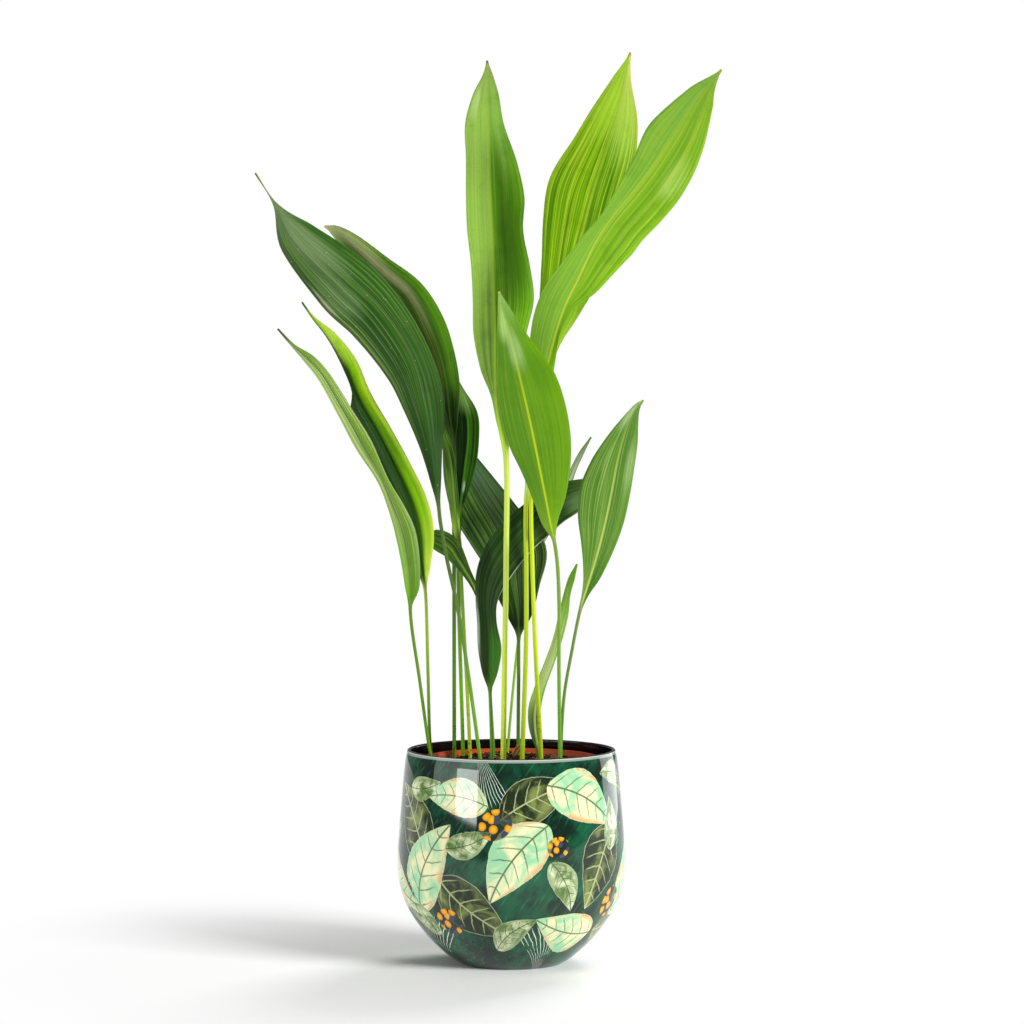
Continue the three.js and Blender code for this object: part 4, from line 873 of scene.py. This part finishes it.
# How each kind of painted leaf is coloured: two washes that run into each other, its rim and its veins.
printLooks = {
    "darkLeaves": {
        "First Wash": "#1d2c1a", "Second Wash": "#7d8c4a", "Wash From": 0.42, "Wash To": 0.68,
        "Rim": "#2a3a20", "Rim Amount": 0.6, "Vein": "#b4bd84"},
    "paleLeaves": {
        "First Wash": "#98d0a0", "Second Wash": "#e9e6b4", "Wash From": 0.38, "Wash To": 0.60,
        "Rim": "#c98430", "Rim Amount": 0.75, "Vein": "#46603a"},
    "smallLeaves": {
        "First Wash": "#5c7a3c", "Second Wash": "#d6e2b4", "Wash From": 0.36, "Wash To": 0.66,
        "Rim": "#2c4424", "Rim Amount": 0.5, "Vein": "#33482a"},
}
# Each motif's local coordinates start a step further on than the last one's, which tells them apart. A
# motif reaches this far from its middle: up or down in millimetres, round the planter in radians, and along
# and across in its local coordinates. Faces outside every motif lie at the place for none.
motifRules = {
    "step": 4, "heightReach": 60, "turnReach": 0.75, "alongReach": 0.57, "acrossReach": 1.14,
    "none": (1.6, 3.0)}


# Smooth rows through a profile's points. The start is counted in rows.
def profileRows(profile, rowsPerStep, start=0):
    radii, heights = zip(*profile)
    places = [i / rowsPerStep for i in range(start, (len(radii) - 1) * rowsPerStep + 1)]
    return [(smoothValue(radii, at), smoothValue(heights, at)) for at in places]


def spinProfile(bm, rows, steps):
    verts = [bm.verts.new((radius * mm, 0, height * mm)) for radius, height in rows]
    edges = [bm.edges.new(pair) for pair in zip(verts, verts[1:])]
    bmesh.ops.spin(bm, geom=verts + edges, cent=(0, 0, 0), axis=(0, 0, 1), dvec=(0, 0, 0),
                   angle=2 * math.pi, steps=steps, use_merge=True, use_duplicate=False)
    bmesh.ops.remove_doubles(bm, verts=bm.verts, dist=mergeWithin)
    bmesh.ops.recalc_face_normals(bm, faces=bm.faces)


# The angle round the planter from one direction to another, the short way, in radians.
def turnBetween(angle, start):
    return (angle - start + math.pi) % (2 * math.pi) - math.pi


def outsideRadius(height):
    radii, heights = zip(*planterShape["outside"])
    i = min(max(bisect.bisect_right(heights, height), 1), len(heights) - 1)
    return mix(radii[i - 1], radii[i], (height - heights[i - 1]) / (heights[i] - heights[i - 1]))


# Each face of the outside gets the local coordinates of the motif that lies there: along it from 0 to 1,
# and across it from -1 to 1.
def layMotifs(bm, layerName, motifs, outsideFaces):
    s = motifRules
    layer = bm.loops.layers.uv.new(layerName)
    for face in bm.faces:
        for loop in face.loops:
            loop[layer].uv = s["none"]
    placed = []
    for index, (side, middle, length, width, turn, curve) in enumerate(motifs):
        turn = math.radians(turn)
        placed.append((index * s["step"], math.radians(side), middle, (
            outsideRadius(middle), math.cos(turn), math.sin(turn), length, width / 2, curve)))

    def local(form, angle, rise):
        radius, cosine, sine, length, halfWidth, curve = form
        x = angle * radius
        along = (x * cosine + rise * sine) / length + 0.5
        across = (rise * cosine - x * sine) / halfWidth
        return along, across + curve * (1 - (2 * along - 1) ** 2)

    for face, faceAngle, faceHeight in outsideFaces:
        best = None
        for start, side, middle, form in placed:
            angle = turnBetween(faceAngle, side)
            if abs(faceHeight - middle) > s["heightReach"] or abs(angle) > s["turnReach"]:
                continue
            along, across = local(form, angle, faceHeight - middle)
            far = max(abs(along - 0.5) / s["alongReach"], abs(across) / s["acrossReach"])
            if far < 1 and (best is None or far < best[0]):
                best = (far, start, middle, form, angle)
        if best:
            _, start, middle, form, angle = best
            for loop in face.loops:
                spot = loop.vert.co
                cornerAngle = angle + turnBetween(math.atan2(spot.x, -spot.y), faceAngle)
                along, across = local(form, cornerAngle, spot.z / mm - middle)
                loop[layer].uv = (along + start, across)


# Where a point lies in the motif of a layer: along it, across it, and which motif it is.
def motifSpot(put, place):
    run, across = put("split", [place])
    index = put("round", [("divide", run, motifRules["step"])])
    return put("subtract", [run, ("multiply", index, motifRules["step"])]), across, index


leafPrint = {
    "washNoise": (3.2, 4.0, 0.6, 0.6), "blotchNoise": (9.0, 4.0, 0.65, 0.4),
    "acrossScale": 0.35, "motifShift": 3.7,
    "outlinePower": 0.72, "outlineSwell": 0.85, "fray": 0.16, "leastReach": 0.90, "outlineBlur": 0.025,
    "stain": (0.52, 0.70), "stainAmount": 0.35, "rim": (0.62, 1.0), "rimWash": (0.46, 0.56),
    "veins": 6.5, "veinBend": 1.5, "veinPower": 1.3, "veinWander": 0.3, "sideVein": (0.075, 0.03),
    "sideVeinEnds": (0.92, 0.55), "sideVeinAmount": 0.75, "midVein": (0.045, 0.02), "midVeinAmount": 0.9,
    "bare": (0.045, 0.02), "bareAmount": 0.7, "bareColour": "#dfe6bc",
}


# One painted leaf of the print, drawn in a motif's local coordinates: watercolour washes, an ink midrib and
# side veins, a rim, and a thin line of bare paper round it.
def paintedLeafGroup():
    s = leafPrint
    group = bpy.data.node_groups.new("paintedLeaf", "ShaderNodeTree")
    for kind, names in (("Vector", ("Place",)), ("Color", ("First Wash", "Second Wash", "Rim", "Vein")),
                        ("Float", ("Wash From", "Wash To", "Rim Amount"))):
        for name in names:
            group.interface.new_socket(name, in_out="INPUT", socket_type="NodeSocket" + kind)
    for name, kind in (("Colour", "Color"), ("Mask", "Float")):
        group.interface.new_socket(name, in_out="OUTPUT", socket_type="NodeSocket" + kind)
    put = partial(addNode, group)
    place, firstWash, secondWash, rim, vein, washFrom, washTo, rimAmount = put(
        "NodeGroupInput", output=tuple(range(8)))
    along, across, index = motifSpot(put, place)
    seeded = put("join", [
        along, ("multiply", across, s["acrossScale"]), ("multiply", index, s["motifShift"])])
    wash = put("noise", [seeded, *s["washNoise"]])
    blotch = put("noise", [seeded, *s["blotchNoise"]])

    # The outline swells from the foot and narrows to the tip, a little frayed
    clamped = put("ShaderNodeClamp", [along])
    turned = ("multiply", ("power", clamped, s["outlinePower"]), math.pi)
    rounded = ("maximum", ("sine", turned), 0.0)
    fray = ("add", ("multiply", blotch, s["fray"]), s["leastReach"])
    frayed = put("multiply", [("power", rounded, s["outlineSwell"]), fray])
    reach = put("absolute", [across])
    inside = put("subtract", [frayed, reach])
    mask = put("ramp", [inside, 0.0, s["outlineBlur"]])
    share = put("divide", [reach, ("maximum", frayed, 0.02)])
    colour = put("blend", [("ramp", wash, washFrom, washTo), firstWash, secondWash])
    colour = put("blend", [("multiply", ("ramp", blotch, *s["stain"]), s["stainAmount"]), colour, firstWash])
    rimShare = ("multiply", ("ramp", share, *s["rim"]), ("ramp", wash, *s["rimWash"]))
    colour = put("blend", [("multiply", rimShare, rimAmount), colour, rim])

    # Side veins leave the midrib forwards, and curve towards the tip
    bend = ("multiply", ("power", reach, s["veinPower"]), s["veinBend"])
    veinRun = ("subtract", ("multiply", along, s["veins"]), bend)
    veinRun = ("add", veinRun, ("multiply", blotch, s["veinWander"]))
    fromVein = ("absolute", ("subtract", ("fract", veinRun), 0.5))
    sideVein = ("multiply", ("ramp", fromVein, *s["sideVein"]), ("ramp", share, *s["sideVeinEnds"]))
    midVein = ("multiply", ("ramp", reach, *s["midVein"]), s["midVeinAmount"])
    veins = ("maximum", ("multiply", sideVein, s["sideVeinAmount"]), midVein)
    colour = put("blend", [veins, colour, vein])
    bare = ("multiply", ("ramp", inside, *s["bare"]), s["bareAmount"])
    colour = put("blend", [bare, colour, s["bareColour"]])
    put("NodeGroupOutput", [colour, mask])
    return group


glazeLook = {
    # The ground: dark green brushed on aslant, strokes about 2 mm wide and 25 mm long
    "slant": math.radians(34), "stroke": (2 * mm, 6 * mm, 25 * mm), "strokeNoise": (1.0, 3.0, 0.6),
    "poolNoise": (34.0, 3.0, 0.6), "pools": (0.38, 0.66), "ground": ("#072217", "#0e5436"),
    "strokes": ((0.54, 0.76, 0.6, "#1f8450"), (0.46, 0.30, 0.7, "#061a12")),
    # Grass: fine white strokes that fan out from one foot, broken here and there
    "grassFoot": 0.12, "grassCount": 6.0, "wanderNoise": (60.0, 2.0), "wander": 1.2,
    "grassBlade": (0.10, 0.05), "grassColour": "#eef0e4",
    "fanEdge": (0.8, 0.72), "grassStart": (0.03, 0.1), "grassEnd": (0.95, 0.8), "grassGaps": (0.38, 0.5),
    # Berries: ripe yellow drops with slate ones behind them, packed in an oval
    "berriesAlong": 3.6, "berriesAcross": 1.5, "berriesShift": 5.3, "berryScatter": 0.75, "ovalLength": 2.1,
    "berryShade": (0.12, 0.36), "berryColours": ("#f0ae22", "#d88f1c"), "slateShare": (0.38, 0.36),
    "slate": "#3c4858", "berryEdge": (0.42, 0.38), "oval": (0.86, 0.80), "halo": (0.92, 0.74),
    "haloAmount": 0.75, "haloColour": "#202c2a",
    # The print thins out to grey at the lip, and above that a pale line is painted in, a painted highlight
    # along the lip
    "thinning": (-0.5 * mm, 0.0), "thinColour": "#8f9890", "lipHighlight": (1.2 * mm, 2.0 * mm),
    "lipColour": "#d5d8d0",
    # The glaze over it, hardly wavy, and the black one
    "roughness": 0.04, "wavesNoise": (45.0, 1.0), "waves": (0.05, 0.4 * mm),
    "blackNoise": (20.0, 3.0), "blacks": ("#060606", "#141414"), "blackRoughness": 0.09,
    "peelNoise": (160.0, 1.0), "peel": (0.06, 0.3 * mm),
}


# Glazed earthenware: a printed picture under a clear, very smooth glaze, so lights mirror crisply in it.
def glazedPrint():
    s = glazeLook
    material, put = newMaterial("glazedPrintedEarthenware")
    place = put("objectPlace")
    slanted = put("ShaderNodeMapping", {
        "Vector": place, "Rotation": (0.0, s["slant"], 0.0), "Scale": s["stroke"]}, vector_type="TEXTURE")
    strokes = put("noise", [slanted, *s["strokeNoise"]])
    colour = put("blend", [("ramp", ("noise", place, *s["poolNoise"]), *s["pools"]), *s["ground"]])
    for low, high, amount, paint in s["strokes"]:
        colour = put("blend", [("multiply", ("ramp", strokes, low, high), amount), colour, paint])

    along, across, _ = motifSpot(put, put("uv", uv_map="grass"))
    fan = put("divide", [across, ("add", ("maximum", along, 0.0), s["grassFoot"])])
    wander = put("noise", [place, *s["wanderNoise"]])
    blade = ("fract", ("add", ("multiply", fan, s["grassCount"]), ("multiply", wander, s["wander"])))
    strokeShare = put("ramp", [("absolute", ("subtract", blade, 0.5)), *s["grassBlade"]])
    for value, limits in ((("absolute", fan), "fanEdge"), (along, "grassStart"), (along, "grassEnd"),
                          (wander, "grassGaps")):
        strokeShare = put("multiply", [strokeShare, ("ramp", value, *s[limits])])
    colour = put("blend", [strokeShare, colour, s["grassColour"]])

    leafGroup = paintedLeafGroup()
    for layerName, look in printLooks.items():
        values = look | {"Place": put("uv", uv_map=layerName)}
        painted, mask = put("ShaderNodeGroup", values, output=(0, 1), node_tree=leafGroup)
        colour = put("blend", [mask, colour, painted])

    along, across, index = motifSpot(put, put("uv", uv_map="berries"))
    spot = ("join", ("multiply", along, s["berriesAlong"]), ("multiply", across, s["berriesAcross"]),
            ("multiply", index, s["berriesShift"]))
    fromMiddle, cell = put("cells", [spot, 1.0, s["berryScatter"]], output=("Distance", "Color"),
                           voronoi_dimensions="2D")
    lengthShare = ("multiply", ("subtract", along, 0.5), s["ovalLength"])
    oval = put("add", [("power", ("absolute", lengthShare), 2.0), ("power", ("absolute", across), 2.0)])
    berry = put("blend", [("ramp", fromMiddle, *s["berryShade"]), *s["berryColours"]])
    berry = put("blend", [("ramp", put("split", [cell])[0], *s["slateShare"]), berry, s["slate"]])
    halo = ("multiply", ("ramp", oval, *s["halo"]), s["haloAmount"])
    colour = put("blend", [halo, colour, s["haloColour"]])
    berryShare = ("multiply", ("ramp", fromMiddle, *s["berryEdge"]), ("ramp", oval, *s["oval"]))
    colour = put("blend", [berryShare, colour, berry])

    height = put("split", [place], output=2)
    lipFrom = planterShape["lipFrom"] * mm
    # The grey where the print thins out, then the lip's painted highlight
    for limits, paint in (("thinning", "thinColour"), ("lipHighlight", "lipColour")):
        low, high = s[limits]
        colour = put("blend", [("ramp", height, lipFrom + low, lipFrom + high), colour, s[paint]])
    put("surface", [put("principled", {
        "Base Color": colour, "Roughness": s["roughness"], "IOR": 1.5,
        "Normal": put("bump", [("noise", place, *s["wavesNoise"]), *s["waves"]])})])
    return material


# The same glaze over plain black, as inside the planter: deep and mirror-like, with slight orange-peel.
def blackGlaze():
    s = glazeLook
    material, put = newMaterial("blackGlaze")
    place = put("objectPlace")
    put("surface", [put("principled", {
        "Base Color": put("blend", [("noise", place, *s["blackNoise"]), *s["blacks"]]),
        "Roughness": s["blackRoughness"], "IOR": 1.5,
        "Normal": put("bump", [("noise", place, *s["peelNoise"]), *s["peel"]])})])
    return material


def makePlanter():
    s = planterShape
    bm = bmesh.new()
    outside = s["outside"][:2] + profileRows(s["outside"], s["rowsPerStep"], s["rowsPerStep"] + 1)
    inside = profileRows(s["inside"], s["insideRowsPerStep"])
    rows = [(0, 0.0)] + outside + s["lip"] + inside + [(0, inside[-1][1])]
    spinProfile(bm, rows, s["turnSteps"])
    outsideFaces = []
    for face in bm.faces:
        middle = face.calc_center_median()
        radius, height = middle.xy.length / mm, middle.z / mm
        outward = face.normal.dot(Vector((middle.x, middle.y, 0)).normalized()) if radius else 0
        onFloor = radius < s["floorRadius"] and height > s["floorFrom"]
        isBlack = outward < -s["outwardFrom"] or onFloor or height > s["blackFrom"]
        face.material_index = 1 if isBlack else 0
        if outward > s["outwardFrom"] and height > s["footHeight"]:
            outsideFaces.append((face, math.atan2(middle.x, -middle.y), height))
    for layerName, motifs in printLayout.items():
        layMotifs(bm, layerName, motifs, outsideFaces)
    finishPiece("planter_glazed", bm, [glazedPrint(), blackGlaze()], ["planter"])


makePlanter()
print("planter made")


nurseryShape = {
    "rimRadius": 77, "rimTop": 180, "rimHeight": 9, "rimStandsOut": 2, "wall": 1.8,
    "footRadius": 49, "footHeight": 7.3, "floor": 2, "turnSteps": 160,
    "sharpAngle": 0.6, "bevel": 0.45, "bevelSegments": 2,
    "colours": ("#b23f1a", "#c8562c"), "tintNoise": (40.0, 4.0), "scuffNoise": (700.0, 3.0, 0.7),
    "scuffs": (0.3, 0.7), "roughness": (0.38, 0.6), "relief": (0.15, 0.2 * mm),
}


# Polypropylene, moulded: an even terracotta colour, satin, with fine scuffs from handling.
def potPlastic():
    s = nurseryShape
    material, put = newMaterial("mouldedPolypropylene")
    place = put("objectPlace")
    scuffs = put("noise", [place, *s["scuffNoise"]])
    put("surface", [put("principled", {
        "Base Color": put("blend", [("noise", place, *s["tintNoise"]), *s["colours"]]),
        "Roughness": put("range", [scuffs, *s["scuffs"], *s["roughness"]]), "IOR": 1.49,
        "Specular IOR Level": 0.3, "Normal": put("bump", [scuffs, *s["relief"]])})])
    return material


def makeNurseryPot():
    s = nurseryShape
    rimFoot = s["rimTop"] - s["rimHeight"]
    topRadius = s["rimRadius"] - s["rimStandsOut"]

    def wallRadius(height):
        return mix(s["footRadius"], topRadius, (height - s["footHeight"]) / (s["rimTop"] - s["footHeight"]))

    floorTop = s["footHeight"] + s["floor"]
    bm = bmesh.new()
    spinProfile(bm, [
        (0, s["footHeight"]), (s["footRadius"], s["footHeight"]), (wallRadius(rimFoot), rimFoot),
        (s["rimRadius"], rimFoot), (s["rimRadius"], s["rimTop"]), (topRadius - s["wall"], s["rimTop"]),
        (wallRadius(floorTop) - s["wall"], floorTop), (0, floorTop)], s["turnSteps"])
    sharp = [edge for edge in bm.edges
             if len(edge.link_faces) == 2 and edge.calc_face_angle(0) > s["sharpAngle"]]
    bmesh.ops.bevel(bm, geom=sharp, offset=s["bevel"] * mm, offset_type="OFFSET", profile=0.5,
                    segments=s["bevelSegments"], affect="EDGES", material=-1, clamp_overlap=True)
    finishPiece("nursery_pot_shell", bm, [potPlastic()], ["nursery_pot"])


soilShape = {
    "top": 175, "bottom": 9.6, "topRadius": 71.9, "bottomRadius": 47.2, "turnSteps": 150, "rings": 40,
    "rough": 2.2, "lump": 9.0, "fineLump": 2.6, "fineRough": 0.45,  # beside the rough
    "mound": 5.5, "moundMiddle": (-4, 22), "moundRadius": 52, "roughTop": 2.5, "crumbTop": 2.6,
    # How many, their size in millimetres, and how flat they lie
    "crumbs": (900, (0.7, 2.6), (0.6, 1.0)), "chips": (120, (2.0, 5.0), (0.25, 0.5)),
    "longShare": (0.7, 1.4), "wideShare": (0.5, 1.0), "tilt": 0.6, "jag": 0.12, "standsOut": 0.25,
    "crumbMargin": 3, "fibreMargin": 14, "fibres": 70, "fibreLength": (8, 26), "fibreBend": 0.5,
    "fibrePoints": 7, "fibreLift": 0.3, "fibreArch": 1.2, "archShare": (0.4, 1.2),
    "fibreRadius": (0.14, 0.3), "fibreEnds": 0.35, "seed": 12,
    # The three stuffs: a dark colour, a pale one, and the scale of its clumps
    "stuffs": {
        "peatCrumbs": ("#170d07", "#4a2f1c", 420.0), "pineBark": ("#3a2112", "#7c5230", 300.0),
        "coirFibre": ("#8a6238", "#cfae7c", 500.0)},
    "clumpDetail": (5.0, 0.7), "clumps": (0.38, 0.66), "relief": (0.6, 0.8 * mm),
}


# Potting mix: peat crumbs, bark chips and coir fibres, dark and matt, so it shows mostly by its shadows.
def pottingMix(name, dark, pale, scale):
    s = soilShape
    material, put = newMaterial(name)
    clumps = put("noise", [put("objectPlace"), scale, *s["clumpDetail"]])
    put("surface", [put("principled", {
        "Base Color": put("blend", [("range", clumps, *s["clumps"]), dark, pale]), "Roughness": 0.95,
        "Specular IOR Level": 0.25, "Normal": put("bump", [clumps, *s["relief"]])})])
    return material


def soilHeight(x, y):
    s = soilShape
    lumps = noise.noise(Vector((x / s["lump"], y / s["lump"], 0.3)))
    fine = noise.noise(Vector((x / s["fineLump"], y / s["fineLump"], 4.1)))
    fromMound = math.hypot(x - s["moundMiddle"][0], y - s["moundMiddle"][1]) / s["moundRadius"]
    heaped = s["mound"] * smoothStep(fromMound, 1.0, 0.0)
    return s["top"] + heaped + s["rough"] * lumps + s["fineRough"] * s["rough"] * fine


# Adds a small part that was made on its own, which is much quicker than shaping it within a large mesh.
def addPart(bm, part, materialIndex):
    for face in part.faces:
        face.material_index = materialIndex
    carrier = bpy.data.meshes.new("carrier")
    part.to_mesh(carrier)
    part.free()
    bm.from_mesh(carrier)
    bpy.data.meshes.remove(carrier)


# A thin fibre: a five-sided ring is carried from point to point, and the rings are bridged.
def fibre(points, radius):
    part = bmesh.new()
    rings = []
    for i, point in enumerate(points):
        tangent = (points[min(i + 1, len(points) - 1)] - points[max(i - 1, 0)]).normalized()
        thin = radius * (soilShape["fibreEnds"] if i in (0, len(points) - 1) else 1)
        ring = bmesh.ops.create_circle(part, cap_ends=False, segments=5, radius=thin * mm)["verts"]
        bmesh.ops.rotate(part, verts=ring, cent=(0, 0, 0), matrix=tangent.to_track_quat("Z", "Y").to_matrix())
        bmesh.ops.translate(part, verts=ring, vec=point * mm)
        rings.append(ring)
    loops = [[edge for edge in part.edges if all(vert in ring for vert in edge.verts)] for ring in rings]
    for low, high in zip(loops, loops[1:]):
        bmesh.ops.bridge_loops(part, edges=low + high)
    part.faces.new(rings[0])
    part.faces.new(rings[-1])
    bmesh.ops.recalc_face_normals(part, faces=part.faces)
    return part


def makeSoil():
    s = soilShape
    draw = random.Random(s["seed"])
    bm = bmesh.new()
    rows = [(0, s["top"])] + [(s["topRadius"] * i / s["rings"], s["top"]) for i in range(1, s["rings"] + 1)]
    spinProfile(bm, rows + [(s["bottomRadius"], s["bottom"]), (0, s["bottom"])], s["turnSteps"])
    highest = s["top"] + s["mound"]
    for vert in bm.verts:
        if vert.co.z > (s["top"] + s["bottom"]) / 2 * mm:
            vert.co.z = min(soilHeight(vert.co.x / mm, vert.co.y / mm), highest + s["roughTop"]) * mm

    def drawSpot(margin):
        angle, out = draw.uniform(0, 2 * math.pi), math.sqrt(draw.random()) * (s["topRadius"] - margin)
        return out * math.cos(angle), out * math.sin(angle)

    def scatter(count, sizes, flatness, materialIndex):
        for _ in range(count):
            x, y = drawSpot(s["crumbMargin"])
            size = draw.uniform(*sizes)
            crumb = bmesh.new()
            bmesh.ops.create_icosphere(crumb, subdivisions=1, radius=size / 2 * mm)
            shares = [draw.uniform(*limits) for limits in (s["longShare"], s["wideShare"], flatness)]
            bmesh.ops.scale(crumb, verts=crumb.verts, vec=shares)
            tilts = [draw.uniform(-s["tilt"], s["tilt"]) for _ in range(2)]
            turn = Vector((*tilts, 1)).normalized().to_track_quat("Z", "Y").to_matrix()
            bmesh.ops.rotate(crumb, verts=crumb.verts, cent=(0, 0, 0), matrix=turn)
            for vert in crumb.verts:
                vert.co += Vector([draw.uniform(-s["jag"], s["jag"]) * size * mm for _ in range(3)])
            top = min(soilHeight(x, y) + s["standsOut"] * size, highest + s["crumbTop"])
            bmesh.ops.translate(crumb, verts=crumb.verts, vec=(x * mm, y * mm, top * mm))
            addPart(bm, crumb, materialIndex)

    scatter(*s["crumbs"], 0)
    scatter(*s["chips"], 1)
    for _ in range(s["fibres"]):
        middle = Vector((*drawSpot(s["fibreMargin"]), 0))
        heading = draw.uniform(0, 2 * math.pi)
        length, bend = draw.uniform(*s["fibreLength"]), draw.uniform(-s["fibreBend"], s["fibreBend"])
        points = []
        for i in range(s["fibrePoints"]):
            share = i / (s["fibrePoints"] - 1) - 0.5
            turnHere = heading + bend * share * 2
            spot = middle + Vector((math.cos(turnHere), math.sin(turnHere), 0)) * (share * length)
            arch = s["fibreArch"] * (1 - 4 * share * share) * draw.uniform(*s["archShare"])
            points.append(Vector((spot.x, spot.y, soilHeight(spot.x, spot.y) + s["fibreLift"] + arch)))
        addPart(bm, fibre(points, draw.uniform(*s["fibreRadius"])), 2)
    stuffs = [pottingMix(name, *stuff) for name, stuff in s["stuffs"].items()]
    finishPiece("soil_loose", bm, stuffs, ["soil"])


# The scrap of dry sheath at the stems' feet: papery, streaked brown, with curled edges.
sheathLook = leafDefaults | {
    "left": "#9a6a3c", "right": "#7c4f2a", "shade": "#4a2c16", "shading": 0.7, "stripe": "#d2ac78",
    "stripes": 0.8, "rib": "#8a5f38", "foot": "#5c3a1e", "tip": "#b98f5c", "stem": ("#5c3a1e", "#7c4f2a"),
    "edge": "#c49f70", "specks": 0.4, "pleats": 2.0, "pleatDepth": 0.5, "glow": 0.1, "roughness": 0.7}
sheathSeed, sheathHalfWidth = 91.0, 3.0

makeNurseryPot()
makeSoil()
sheathTissue = leafMaterial("dryLeafSheath", sheathLook, sheathSeed, sheathHalfWidth)
makeLeaf("dry_sheath", leafShapes["dry_sheath"], sheathLook, sheathTissue)
print("pot, soil and sheath made")
